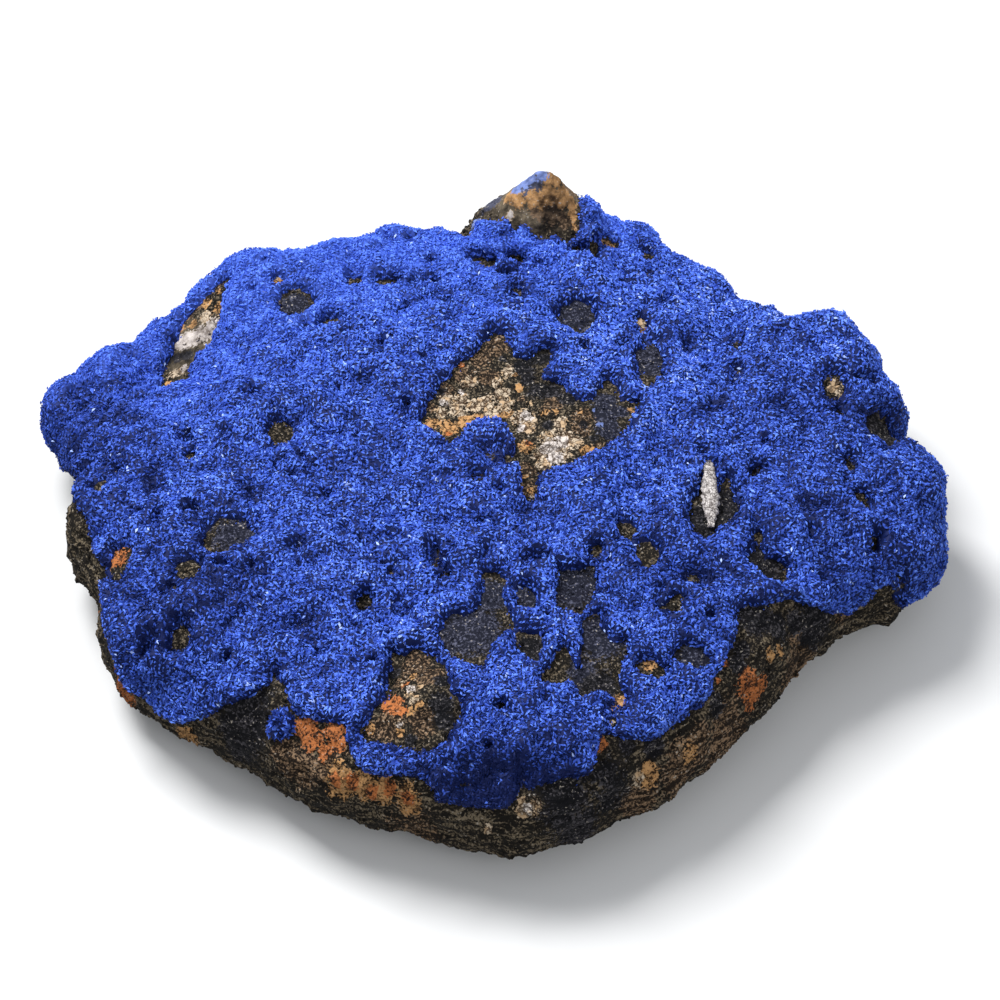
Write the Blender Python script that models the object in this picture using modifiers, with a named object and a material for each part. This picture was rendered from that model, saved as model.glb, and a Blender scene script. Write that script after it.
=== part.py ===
"""Azurite specimen: a slab of dark host rock, grown over by a blue crust.

The slab lies on its flat underside. +Z is up, -Y is the side that shows its
broken edge, and the origin is at the centre of the underside. Blender's unit
is the metre. Sizes, plan points and heights below are in millimetres, and MM
turns them into metres where they are used.
"""

import math

import bmesh
import bpy
from mathutils import Matrix, Vector, noise

MM = 0.001

# Driving dimensions of the slab.
BELT_HEIGHT = 6.5
TOP_HEIGHT = 14.5
TOP_ROUNDING = 0.42
FOOT_ROUNDING = 0.62
FOOT_DEPTH = 0.7

# Relief of the rock: (size of the forms, height).
ROCK_LUMPS = (9.0, 1.0)
ROCK_KNOBS = (3.6, 0.45)
FOOT_RELIEF = 0.6

# The crust: how thick it grows, how far it tucks under bare rock, and its own lumps.
CRUST_THICKNESS = 1.35
THINNEST_CRUST = 1.05
CRUST_TUCK = -0.7
CRUST_LIP = 0.9
CRUST_LUMPS = (3.8, 0.5)
EDGE_WANDER = (3.0, 0.4)

# Mesh sizes.
FACE_SIZE = 1.1
ROCK_TRIANGLES = 3400
CRUST_TRIANGLES = 4400
GAP = 0.3
GROUND_SIZE = 200.0

# Plan of the slab's widest edge, (x, y), anticlockwise from the right-hand end.
BELT_PLAN = (
    (39.6, 0.8), (39.0, 4.0), (35.7, 7.1), (37.2, 10.8), (33.8, 15.0),
    (31.4, 18.7), (27.3, 18.8), (22.8, 23.4), (17.3, 28.5), (12.4, 32.2),
    (5.0, 34.8), (-1.0, 33.8), (-6.0, 31.0), (-12.0, 31.8), (-18.5, 29.3),
    (-24.8, 27.0), (-28.0, 24.0), (-32.3, 20.7), (-38.0, 18.0), (-42.2, 12.4),
    (-40.0, 7.8), (-39.2, 3.2), (-39.4, -3.2), (-36.6, -9.4), (-36.4, -15.2),
    (-33.0, -20.2), (-28.0, -23.2), (-22.4, -27.1), (-16.0, -31.6),
    (-9.5, -34.2), (-3.0, -35.8), (3.0, -36.3), (8.9, -34.2), (15.1, -29.7),
    (19.6, -25.8), (23.8, -21.0), (27.2, -15.8), (31.3, -11.9),
    (36.3, -9.4), (38.9, -6.2),
)

# Swellings and hollows of the upper side: (x, y, radius, rise).
SWELLS = (
    (4.7, 31.8, 4.2, 8.8),
    (0.5, 31.3, 4.0, 2.6),
    (-25.0, 25.0, 6.0, 2.0),
    (31.5, 16.0, 5.5, 4.0),
    (38.0, 0.0, 6.0, 0.5),
    (-40.0, 11.0, 8.0, -3.0),
    (-33.0, 15.0, 8.0, -3.0),
    (0.0, 0.0, 24.0, 2.0),
    (-6.5, -27.5, 2.6, 2.2),
    (17.0, 14.5, 3.0, -1.0),
    (35.5, 3.5, 2.5, -1.5),
)

# Points on the crust's lower edge, (x, y, height). Seen from above they run anticlockwise
# from the right-hand end. EDGE_LEAN weighs distance from the middle against height.
EDGE_LEAN = 0.6
CRUST_EDGE = (
    (40.0, 3.0, 4.5), (37.5, 13.0, 6.0), (29.0, 19.5, 5.0), (17.0, 28.5, 7.0),
    (9.0, 32.5, 7.5), (1.0, 34.0, 9.0), (-7.0, 31.0, 7.0), (-18.0, 29.5, 6.0),
    (-28.5, 24.5, 4.5), (-37.0, 18.5, 6.0), (-40.5, 11.0, 4.0), (-38.0, 4.0, 8.0),
    (-37.6, -3.9, 12.0), (-37.0, -6.1, 11.3), (-36.4, -8.3, 11.1), (-35.5, -11.8, 11.1),
    (-34.4, -15.2, 10.4), (-33.6, -18.1, 10.0), (-32.7, -19.5, 7.9), (-31.5, -20.8, 7.0),
    (-29.6, -22.3, 6.7), (-27.5, -24.0, 7.8), (-25.2, -25.1, 10.4), (-22.9, -24.8, 11.8),
    (-19.6, -24.2, 13.3), (-17.8, -26.9, 12.7), (-15.7, -28.0, 13.1), (-13.5, -29.0, 13.2),
    (-13.2, -30.6, 12.6), (-12.2, -32.5, 11.8), (-8.7, -33.4, 11.9), (-6.5, -34.0, 12.1),
    (-5.2, -35.2, 10.8), (0.0, -36.0, 10.5), (1.7, -35.7, 11.8), (5.2, -34.1, 12.5),
    (7.8, -33.3, 12.2), (8.7, -30.2, 13.8), (12.5, -30.2, 12.5), (14.9, -28.5, 12.4),
    (17.7, -25.5, 12.4), (18.8, -23.6, 13.0), (20.4, -20.0, 13.3), (21.3, -16.9, 14.4),
    (23.1, -16.1, 14.3), (26.8, -14.2, 12.7), (29.7, -13.5, 10.1), (32.1, -12.1, 8.6),
    (34.3, -11.1, 10.2), (35.6, -10.2, 10.5), (37.2, -9.4, 6.0), (39.0, -6.0, 4.5),
)

# Places on the upper side where the crust is missing, as plan outlines.
WINDOWS = {
    "middle": (
        (-1.0, 15.5), (0.5, 14.5), (1.0, 12.0), (2.5, 11.0), (3.5, 12.5),
        (5.5, 12.0), (4.0, 10.5), (3.5, 8.5), (6.0, 8.0), (6.5, 6.0),
        (8.0, 6.0), (10.0, 8.0), (11.0, 6.0), (12.5, 5.0), (11.0, 2.5),
        (8.5, 0.5), (6.0, -1.5), (3.5, -3.0), (2.5, -6.0), (1.5, -3.5),
        (1.0, 3.0), (-2.5, 2.5), (-4.5, 0.5), (-7.0, 2.5), (-7.5, 4.0),
        (-5.5, 7.0), (-3.5, 9.5),
    ),
    "left slope": (
        (-26.5, 22.0), (-25.5, 18.5), (-26.5, 16.5), (-28.0, 14.5),
        (-29.0, 12.5), (-30.5, 11.0), (-32.0, 13.0), (-31.5, 16.5),
        (-28.5, 20.5),
    ),
    "three corners": (
        (8.7, -19.6), (11.2, -20.5), (10.8, -25.0), (8.4, -26.0),
        (6.0, -25.6), (3.8, -25.0), (5.6, -22.0), (7.6, -20.7), (8.1, -18.4),
    ),
    "peak": (
        (-3.0, 29.5), (-1.0, 28.5), (1.0, 29.0), (3.0, 28.5), (5.0, 27.0),
        (6.8, 26.8), (7.6, 29.5), (7.5, 36.0), (-6.0, 36.0), (-6.0, 31.0),
    ),
    "sliver": (
        (18.0, 0.0), (20.0, 0.0), (20.4, -4.0), (22.0, -6.0), (19.4, -9.4),
        (16.6, -7.6), (18.0, -4.0),
    ),
}

# Rounder gaps in the crust: (x, y, half width, half depth).
GAPS = (
    (-6.6, -27.4, 3.3, 4.1), (-2.7, -20.4, 2.5, 2.6), (-0.8, -15.9, 1.3, 2.2),
    (6.4, -16.0, 1.8, 2.3), (2.4, -16.9, 1.2, 1.2), (2.8, -21.6, 1.3, 1.5),
    (17.0, -21.9, 1.5, 0.9), (13.2, -23.3, 1.3, 0.9), (11.1, -8.9, 1.0, 1.0),
    (13.2, -11.4, 0.9, 1.4), (7.0, 17.6, 1.7, 1.8), (13.9, 11.6, 1.1, 2.2),
    (35.4, 3.5, 1.9, 2.6), (23.4, -12.0, 1.7, 1.6), (-24.2, -9.1, 2.0, 1.7),
    (-28.2, -19.2, 1.1, 1.3), (-34.2, -9.8, 0.8, 1.6), (-19.2, 18.8, 1.3, 1.3),
    (-20.0, 3.2, 0.9, 1.2), (-27.8, -12.6, 1.1, 1.2),
)

# The pale crystal that lies on the bare rock, and the patch of crust that grew by itself.
SLIVER_PLACE = (18.9, -4.1, 15.7)
SLIVER_LENGTH = 7.6
SLIVER_RADII = (0.78, 0.16)
SLIVER_FLATNESS = 0.7
ISLET_PLACE = (-19.1, -27.4, 11.5)
ISLET_RADII = (1.35, 1.35, 1.65)
ISLET_LUMPS = (1.6, 0.25)

# Colour and roughness of each piece.
FINISHES = {
    "matrix_rock": ((0.055, 0.042, 0.033), 0.8),
    "azurite_crust": ((0.035, 0.075, 0.42), 0.5),
    "azurite_islet": ((0.035, 0.075, 0.42), 0.5),
    "white_sliver": ((0.58, 0.55, 0.52), 0.4),
}


def smooth_step(value, low, high):
    """0 below low, 1 above high, and an even ramp between them."""
    share = min(1.0, max(0.0, (value - low) / (high - low)))
    return share * share * (3.0 - 2.0 * share)


def polar(points):
    """Plan points as (angle, radius), in order of angle."""
    return sorted((math.atan2(y, x), math.hypot(x, y)) for x, y in points)


def around(pairs, angle):
    """Value at an angle, on a smooth closed curve through (angle, value) pairs."""
    count = len(pairs)
    after = next((i for i, pair in enumerate(pairs) if pair[0] > angle), 0)
    near = [pairs[(after + step) % count] for step in (-2, -1, 0, 1)]
    v0, v1, v2, v3 = (pair[1] for pair in near)
    span = (near[2][0] - near[1][0]) % math.tau
    t = ((angle - near[1][0]) % math.tau) / span
    return v1 + 0.5 * t * (
        v2 - v0 + t * (2 * v0 - 5 * v1 + 4 * v2 - v3 + t * (3 * (v1 - v2) + v3 - v0))
    )


BELT = polar(BELT_PLAN)
EDGE = sorted(
    (math.atan2(y, x), z - EDGE_LEAN * math.hypot(x, y)) for x, y, z in CRUST_EDGE
)


def relief(point, form, seed):
    """Fractal relief of one size and height at a point, in millimetres."""
    size, height = form
    place = (point + Vector((seed, -seed, 2.0 * seed))) / size
    return height * noise.fractal(place, 1.0, 2.0, 3, noise_basis="PERLIN_ORIGINAL")


def top_height(x, y):
    """Height of the rock's upper side over a plan point."""
    height = TOP_HEIGHT
    for cx, cy, radius, rise in SWELLS:
        height += rise * math.exp(-((x - cx) ** 2 + (y - cy) ** 2) / radius**2)
    return height


def slab_point(direction):
    """Place on the smooth slab for a direction from the sphere's centre."""
    across = max(1e-9, math.hypot(direction.x, direction.y))
    upper = direction.z > 0
    rounding = TOP_ROUNDING if upper else FOOT_ROUNDING
    radius = around(BELT, math.atan2(direction.y, direction.x)) * across**rounding
    rise = TOP_HEIGHT - BELT_HEIGHT if upper else -BELT_HEIGHT - FOOT_DEPTH
    height = BELT_HEIGHT + rise * abs(direction.z) ** rounding
    scale = radius / across
    return Vector((direction.x * scale, direction.y * scale, height))


def outside_outline(x, y, outline):
    """Distance from a plan point to an outline, negative inside it."""
    nearest = math.inf
    inside = False
    for (ax, ay), (bx, by) in zip(outline, outline[1:] + outline[:1]):
        dx, dy = bx - ax, by - ay
        along = ((x - ax) * dx + (y - ay) * dy) / (dx * dx + dy * dy)
        along = min(1.0, max(0.0, along))
        nearest = min(nearest, math.hypot(x - ax - along * dx, y - ay - along * dy))
        if (ay > y) != (by > y) and x < ax + dx * (y - ay) / dy:
            inside = not inside
    return -nearest if inside else nearest


def outside_gap(x, y, gap):
    """Distance from a plan point to an oval gap, negative inside it."""
    cx, cy, half_width, half_depth = gap
    reach = math.hypot((x - cx) / half_width, (y - cy) / half_depth)
    return (reach - 1.0) * min(half_width, half_depth)


def cover(point):
    """How far inside the crust's area a point of the rock lies."""
    wander = relief(point, EDGE_WANDER, 31.0)
    angle = math.atan2(point.y, point.x)
    reach = math.hypot(point.x, point.y)
    if point.z < BELT_HEIGHT:
        reach = max(reach, around(BELT, angle))
    inside = point.z - EDGE_LEAN * reach - around(EDGE, angle)
    if point.z > BELT_HEIGHT:
        for outline in WINDOWS.values():
            inside = min(inside, outside_outline(point.x, point.y, outline))
        for gap in GAPS:
            inside = min(inside, outside_gap(point.x, point.y, gap))
    return inside + wander


def growth(point):
    """How far the crust's outer side stands off the rock at a point."""
    full = max(THINNEST_CRUST, CRUST_THICKNESS + relief(point, CRUST_LUMPS, 7.0))
    share = smooth_step(cover(point), -CRUST_LIP / 2, CRUST_LIP)
    return CRUST_TUCK + (full - CRUST_TUCK) * share


def new_object(name, mesh, collection):
    """A new object in a collection."""
    obj = bpy.data.objects.new(name, mesh)
    collection.objects.link(obj)
    return obj


def new_guide(name, mesh, collection):
    """A new object that shapes others and isn't a piece itself."""
    guide = new_object(name, mesh, collection)
    guide.hide_render = True
    guide.display_type = "WIRE"
    return guide


def finish(obj):
    """Gives a piece its own material."""
    colour, roughness = FINISHES[obj.name]
    material = bpy.data.materials.new(obj.name)
    material.use_nodes = True
    shader = material.node_tree.nodes["Principled BSDF"]
    shader.inputs["Base Color"].default_value = (*colour, 1.0)
    shader.inputs["Roughness"].default_value = roughness
    shader.inputs["Metallic"].default_value = 0.0
    obj.data.materials.clear()
    obj.data.materials.append(material)


def bake_modifiers(obj):
    """Replaces an object's mesh with the one that its modifiers make."""
    bpy.context.view_layer.update()
    graph = bpy.context.evaluated_depsgraph_get()
    mesh = bpy.data.meshes.new_from_object(obj.evaluated_get(graph))
    obj.modifiers.clear()
    obj.data = mesh


def thin_out(obj, triangles):
    """Merges small faces until an object has about so many triangles."""
    modifier = obj.modifiers.new("fewer faces", "DECIMATE")
    modifier.ratio = triangles / (2 * len(obj.data.polygons))
    bake_modifiers(obj)


def move_along_normals(obj, distance_at):
    """Moves each vertex along its normal by a distance that depends on its place."""
    places = [(v.co / MM, v.normal.copy()) for v in obj.data.vertices]
    for vertex, (point, normal) in zip(obj.data.vertices, places):
        vertex.co = (point + normal * distance_at(point)) * MM
    obj.data.update()


def rock_relief(point):
    """Height of the rock's lumps and knobs at a point, lower on the underside."""
    share = FOOT_RELIEF + (1.0 - FOOT_RELIEF) * smooth_step(point.z, 0.0, BELT_HEIGHT)
    return share * (relief(point, ROCK_LUMPS, 0.0) + relief(point, ROCK_KNOBS, 5.0))


def host_rock(guides):
    """The rock in fine faces: a sphere drawn out to the slab, then given its relief."""
    form = bmesh.new()
    bmesh.ops.create_uvsphere(form, u_segments=160, v_segments=96, radius=1.0)
    for vertex in form.verts:
        vertex.co = slab_point(vertex.co.normalized()) * MM
    mesh = bpy.data.meshes.new("rock_in_fine_faces")
    form.to_mesh(mesh)
    form.free()
    rock = new_guide("rock_in_fine_faces", mesh, guides)
    even = rock.modifiers.new("even faces", "REMESH")
    even.mode = "VOXEL"
    even.voxel_size = FACE_SIZE * MM
    bake_modifiers(rock)
    for vertex in rock.data.vertices:
        x, y, z = vertex.co / MM
        share = max(0.0, z - BELT_HEIGHT) / (TOP_HEIGHT - BELT_HEIGHT)
        vertex.co.z += share * (top_height(x, y) - TOP_HEIGHT) * MM
    rock.data.update()
    move_along_normals(rock, rock_relief)
    return rock


def ground(guides):
    """A block whose upper side is the ground."""
    form = bmesh.new()
    bmesh.ops.create_cube(form, size=GROUND_SIZE * MM)
    bmesh.ops.translate(form, vec=(0.0, 0.0, -GROUND_SIZE / 2 * MM), verts=form.verts)
    mesh = bpy.data.meshes.new("ground")
    form.to_mesh(mesh)
    form.free()
    return new_guide("ground", mesh, guides)


def keep_largest_body(obj):
    """Deletes all but the largest connected body of a mesh."""
    form = bmesh.new()
    form.from_mesh(obj.data)
    left = set(form.verts)
    bodies = []
    while left:
        seed = left.pop()
        body, front = {seed}, [seed]
        while front:
            for edge in front.pop().link_edges:
                for vertex in edge.verts:
                    if vertex in left:
                        left.discard(vertex)
                        body.add(vertex)
                        front.append(vertex)
        bodies.append(body)
    bodies.sort(key=len, reverse=True)
    for body in bodies[1:]:
        bmesh.ops.delete(form, geom=list(body), context="VERTS")
    form.to_mesh(obj.data)
    form.free()


def cut_away(obj, cutter, solver="EXACT"):
    """Takes a cutter's form out of an object."""
    cut = obj.modifiers.new(cutter.name, "BOOLEAN")
    cut.operation = "DIFFERENCE"
    cut.solver = solver
    cut.object = cutter
    bake_modifiers(obj)
    keep_largest_body(obj)


def crust(fine_rock, specimen):
    """The crust: the rock's form swollen by its growth."""
    shell = new_object("azurite_crust", fine_rock.data.copy(), specimen)
    move_along_normals(shell, growth)
    thin_out(shell, CRUST_TRIANGLES)
    return shell


def islet(specimen):
    """The small patch of crust on the rock's wall, away from the rest."""
    form = bmesh.new()
    bmesh.ops.create_icosphere(form, subdivisions=3, radius=1.0)
    bmesh.ops.scale(form, vec=Vector(ISLET_RADII) * MM, verts=form.verts)
    bmesh.ops.translate(form, vec=Vector(ISLET_PLACE) * MM, verts=form.verts)
    mesh = bpy.data.meshes.new("azurite_islet")
    form.to_mesh(mesh)
    form.free()
    patch = new_object("azurite_islet", mesh, specimen)
    move_along_normals(patch, lambda point: relief(point, ISLET_LUMPS, 3.0))
    return patch


def sliver(specimen):
    """The pale crystal: a flattened six-sided spear that lies along Y."""
    form = bmesh.new()
    low_end, high_end = SLIVER_RADII
    bmesh.ops.create_cone(
        form,
        cap_ends=True,
        segments=6,
        radius1=low_end * MM,
        radius2=high_end * MM,
        depth=SLIVER_LENGTH * MM,
    )
    bmesh.ops.scale(form, vec=(1.0, SLIVER_FLATNESS, 1.0), verts=form.verts)
    lay_down = Matrix.Rotation(math.radians(-90.0), 3, "X")
    bmesh.ops.rotate(form, matrix=lay_down, verts=form.verts)
    bmesh.ops.translate(form, vec=Vector(SLIVER_PLACE) * MM, verts=form.verts)
    mesh = bpy.data.meshes.new("white_sliver")
    form.to_mesh(mesh)
    form.free()
    return new_object("white_sliver", mesh, specimen)


def main():
    """Clears the scene and builds the specimen."""
    for obj in list(bpy.data.objects):
        bpy.data.objects.remove(obj)
    specimen = bpy.data.collections.new("azurite_specimen")
    guides = bpy.data.collections.new("cutters")
    for collection in (specimen, guides):
        bpy.context.scene.collection.children.link(collection)

    fine_rock = host_rock(guides)
    rock = new_object("matrix_rock", fine_rock.data.copy(), specimen)
    thin_out(rock, ROCK_TRIANGLES)
    rock_with_gap = new_guide("rock_with_gap", rock.data.copy(), guides)
    move_along_normals(rock_with_gap, lambda point: GAP)
    cut_away(rock, ground(guides))

    growths = (crust(fine_rock, specimen), islet(specimen), sliver(specimen))
    for growth_piece in growths:
        cut_away(growth_piece, rock_with_gap, "MANIFOLD")
    for piece in (rock, *growths):
        finish(piece)


main()
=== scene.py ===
"""Azurite specimen: the looks of a slab of host rock under a velvety blue crust.

Every form starts from the frame's solids. The rock and the crust are remade from
them in small even faces, the crust is grown over with tiny crystals, and the bare
rock is strewn with grit. Sizes, plan points and heights are in millimetres, and MM
turns them into metres where they meet Blender.
"""

import logging
import math
from dataclasses import dataclass
from enum import Enum

import bmesh
import bpy
import numpy as np
from mathutils import Matrix, Vector, noise


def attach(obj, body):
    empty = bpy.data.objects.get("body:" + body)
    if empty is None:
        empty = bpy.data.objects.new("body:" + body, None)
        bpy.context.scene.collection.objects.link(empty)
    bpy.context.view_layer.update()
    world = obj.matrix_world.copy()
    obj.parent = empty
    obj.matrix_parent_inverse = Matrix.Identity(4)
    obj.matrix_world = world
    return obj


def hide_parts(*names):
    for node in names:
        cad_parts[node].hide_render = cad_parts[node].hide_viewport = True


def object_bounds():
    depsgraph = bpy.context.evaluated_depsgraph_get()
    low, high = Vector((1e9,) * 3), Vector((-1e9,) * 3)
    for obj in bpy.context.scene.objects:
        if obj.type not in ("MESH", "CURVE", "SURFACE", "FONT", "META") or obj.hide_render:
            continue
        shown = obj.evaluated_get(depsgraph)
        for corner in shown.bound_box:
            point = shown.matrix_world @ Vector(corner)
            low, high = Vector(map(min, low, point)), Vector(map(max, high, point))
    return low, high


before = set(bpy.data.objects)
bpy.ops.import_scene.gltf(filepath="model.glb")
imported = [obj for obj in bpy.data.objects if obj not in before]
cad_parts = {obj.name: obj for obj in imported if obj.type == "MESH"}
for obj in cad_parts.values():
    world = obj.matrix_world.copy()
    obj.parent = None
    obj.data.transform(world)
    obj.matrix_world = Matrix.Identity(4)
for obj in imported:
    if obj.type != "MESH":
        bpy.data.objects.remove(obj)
CAD_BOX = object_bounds()

LOG = logging.getLogger("azurite")
MM = 0.001
BODY = "root"
MERGE_DISTANCE = 0.001

# The slab and the limits of its crust, as the solids have them.
BELT_HEIGHT = 6.5
BELT_PLAN = (
    (39.6, 0.8), (39.0, 4.0), (35.7, 7.1), (37.2, 10.8), (33.8, 15.0), (31.4, 18.7), (27.3, 18.8),
    (22.8, 23.4), (17.3, 28.5), (12.4, 32.2), (5.0, 34.8), (-1.0, 33.8), (-6.0, 31.0),
    (-12.0, 31.8), (-18.5, 29.3), (-24.8, 27.0), (-28.0, 24.0), (-32.3, 20.7), (-38.0, 18.0),
    (-42.2, 12.4), (-40.0, 7.8), (-39.2, 3.2), (-39.4, -3.2), (-36.6, -9.4), (-36.4, -15.2),
    (-33.0, -20.2), (-28.0, -23.2), (-22.4, -27.1), (-16.0, -31.6), (-9.5, -34.2), (-3.0, -35.8),
    (3.0, -36.3), (8.9, -34.2), (15.1, -29.7), (19.6, -25.8), (23.8, -21.0), (27.2, -15.8),
    (31.3, -11.9), (36.3, -9.4), (38.9, -6.2),
)

# Points on the crust's lower edge, (x, y, height). EDGE_LEAN weighs distance from the
# middle against height.
EDGE_LEAN = 0.6
CRUST_EDGE = (
    (40.0, 3.0, 4.5), (37.5, 13.0, 6.0), (29.0, 19.5, 5.0), (17.0, 28.5, 7.0), (9.0, 32.5, 7.5),
    (1.0, 34.0, 9.0), (-7.0, 31.0, 7.0), (-18.0, 29.5, 6.0), (-28.5, 24.5, 4.5), (-37.0, 18.5, 6.0),
    (-40.5, 11.0, 4.0), (-38.0, 4.0, 8.0), (-37.6, -3.9, 12.0), (-37.0, -6.1, 11.3),
    (-36.4, -8.3, 11.1), (-35.5, -11.8, 11.1), (-34.4, -15.2, 10.4), (-33.6, -18.1, 10.0),
    (-32.7, -19.5, 7.9), (-31.5, -20.8, 7.0), (-29.6, -22.3, 6.7), (-27.5, -24.0, 7.8),
    (-25.2, -25.1, 10.4), (-22.9, -24.8, 11.8), (-19.6, -24.2, 13.3), (-17.8, -26.9, 12.7),
    (-15.7, -28.0, 13.1), (-13.5, -29.0, 13.2), (-13.2, -30.6, 12.6), (-12.2, -32.5, 11.8),
    (-8.7, -33.4, 11.9), (-6.5, -34.0, 12.1), (-5.2, -35.2, 10.8), (0.0, -36.0, 10.5),
    (1.7, -35.7, 11.8), (5.2, -34.1, 12.5), (7.8, -33.3, 12.2), (8.7, -30.2, 13.8),
    (12.5, -30.2, 12.5), (14.9, -28.5, 12.4), (17.7, -25.5, 12.4), (18.8, -23.6, 13.0),
    (20.4, -20.0, 13.3), (21.3, -16.9, 14.4), (23.1, -16.1, 14.3), (26.8, -14.2, 12.7),
    (29.7, -13.5, 10.1), (32.1, -12.1, 8.6), (34.3, -11.1, 10.2), (35.6, -10.2, 10.5),
    (37.2, -9.4, 6.0), (39.0, -6.0, 4.5),
)

# Places on the upper side where the crust is missing, as plan outlines.
WINDOWS = {
    "middle": (
        (-7.2, 3.8), (-6.8, 5.5), (-5.1, 8.5), (-3.3, 11.2), (-1.2, 13.6), (-0.6, 14.3),
        (0.3, 14.1), (1.5, 12.0), (2.5, 11.5), (3.6, 12.7), (4.5, 12.9), (4.6, 11.2), (3.8, 9.4),
        (4.2, 8.8), (5.9, 8.8), (6.4, 6.7), (7.3, 6.0), (8.4, 6.1), (9.9, 8.8), (11.1, 6.3),
        (12.6, 6.1), (12.6, 4.8), (11.1, 2.0), (9.1, 0.6), (7.6, -0.8), (5.3, -1.6), (3.4, -3.0),
        (2.9, -5.6), (2.3, -5.8), (1.9, -4.9), (2.0, -3.1), (1.1, 1.8), (0.5, 3.3), (-1.8, 3.8),
        (-2.8, 3.2), (-4.3, 0.6), (-4.9, 1.3), (-5.2, 2.1), (-6.1, 2.6),
    ),
    "left slope": (
        (-25.9, 23.6), (-25.7, 22.0), (-25.8, 20.4), (-26.1, 18.8), (-27.0, 17.4), (-28.1, 16.4),
        (-28.9, 15.2), (-29.2, 13.2), (-30.6, 12.6), (-31.7, 13.3), (-31.6, 15.4), (-31.1, 17.1),
        (-30.5, 18.7), (-29.9, 20.2), (-28.8, 21.6), (-27.6, 22.8), (-26.5, 23.9),
    ),
    "knob": (
        (-9.3, -21.9), (-8.5, -22.3), (-7.7, -21.9), (-6.7, -21.9), (-5.8, -22.4), (-5.0, -23.5),
        (-4.3, -27.0), (-3.7, -27.8), (-3.6, -28.8), (-4.7, -31.0), (-5.8, -31.8), (-6.9, -32.0),
        (-9.4, -31.0), (-11.7, -30.6), (-12.1, -29.3), (-11.2, -28.8), (-10.1, -26.8),
        (-9.6, -23.4),
    ),
    "three corners": (
        (8.0, -18.0), (8.8, -18.0), (9.0, -19.4), (9.6, -21.2), (11.2, -20.5), (11.1, -22.0),
        (10.5, -23.3), (10.5, -25.1), (10.6, -26.3), (8.7, -26.3), (7.0, -26.7), (6.0, -25.5),
        (4.7, -25.8), (3.6, -25.7), (4.3, -24.1), (4.9, -22.4), (5.6, -21.5), (6.2, -22.8),
        (6.8, -23.7), (7.2, -22.4), (7.4, -20.7), (7.3, -18.8),
    ),
    "front pit": (
        (-1.2, -13.7), (-0.1, -13.7), (0.4, -14.4), (0.1, -17.2), (0.9, -18.0), (1.1, -19.8),
        (-0.3, -20.5), (-0.8, -22.8), (-1.5, -23.8), (-2.6, -23.5), (-3.8, -22.9), (-4.6, -21.7),
        (-5.2, -20.4), (-4.9, -18.8), (-4.2, -17.8), (-3.2, -18.2), (-1.9, -17.6), (-1.3, -16.4),
    ),
    "round pit": (
        (5.1, -13.6), (6.6, -13.1), (8.6, -12.8), (8.3, -14.6), (7.8, -15.4), (7.9, -16.7),
        (7.3, -17.8), (6.4, -18.2), (5.5, -17.8), (4.8, -17.1), (4.9, -15.3),
    ),
    "small pit": (
        (1.9, -15.4), (2.5, -15.2), (3.1, -16.1), (3.4, -17.1), (2.9, -18.0), (2.2, -18.3),
        (1.6, -17.6), (1.4, -16.1),
    ),
    "black pit": (
        (1.6, -20.4), (3.9, -20.5), (3.7, -22.4), (3.1, -24.0), (2.2, -23.3), (1.7, -22.1),
    ),
    "peak": (
        (-2.9, 28.3), (-2.3, 28.5), (-1.9, 30.2), (-0.9, 29.5), (0.0, 28.9), (0.8, 28.6),
        (1.1, 27.7), (1.5, 27.6), (2.1, 28.0), (2.8, 27.6), (3.9, 27.3), (5.4, 27.1), (6.3, 26.6),
        (7.1, 26.8), (7.4, 28.0), (7.5, 36.0), (-6.0, 36.0), (-5.0, 30.5),
    ),
    "sliver": (
        (17.8, -3.3), (17.4, -4.8), (16.7, -7.0), (17.4, -8.6), (18.3, -9.7), (19.1, -8.8),
        (20.7, -7.1), (21.5, -5.7), (20.9, -3.9), (20.9, -1.6), (20.4, -1.3), (19.7, -3.5),
        (19.3, -0.4), (18.7, -0.4), (18.2, -1.8),
    ),
}

# Rounder gaps in the crust, (x, y, half width, half depth): the wide ones, then the pits.
GAPS = (
    (17.0, -21.9, 1.5, 0.9), (13.2, -23.3, 1.3, 0.9), (-2.1, 25.2, 0.8, 0.7),
    (-1.0, 24.5, 0.7, 0.7), (1.4, 25.2, 0.6, 0.5), (8.9, 26.5, 0.5, 0.7), (7.6, 25.7, 0.6, 0.5),
    (10.3, 27.9, 0.8, 1.0), (13.8, 27.2, 0.7, 0.9), (11.1, -8.9, 1.0, 1.0), (13.2, -11.4, 0.9, 1.4),
    (7.0, 17.6, 1.7, 1.8), (13.9, 11.8, 1.2, 2.7), (35.4, 5.9, 1.8, 2.3), (24.1, -12.4, 1.4, 1.3),
    (22.9, -11.3, 0.9, 1.0), (23.1, -9.3, 0.5, 1.7), (-24.4, -9.0, 2.1, 2.3),
    (-28.2, -19.2, 0.9, 1.0), (-34.2, -9.8, 0.8, 1.6), (-19.1, 19.2, 1.4, 1.8),
    (-15.8, 16.5, 0.9, 0.8), (-13.6, 22.6, 0.6, 0.7), (-10.6, 22.0, 0.8, 0.6),
    (-7.7, 21.8, 0.7, 0.6), (-20.0, 3.2, 0.9, 1.2), (-27.8, -12.6, 1.1, 1.2), (31.0, 9.4, 0.7, 1.0),
)
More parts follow.
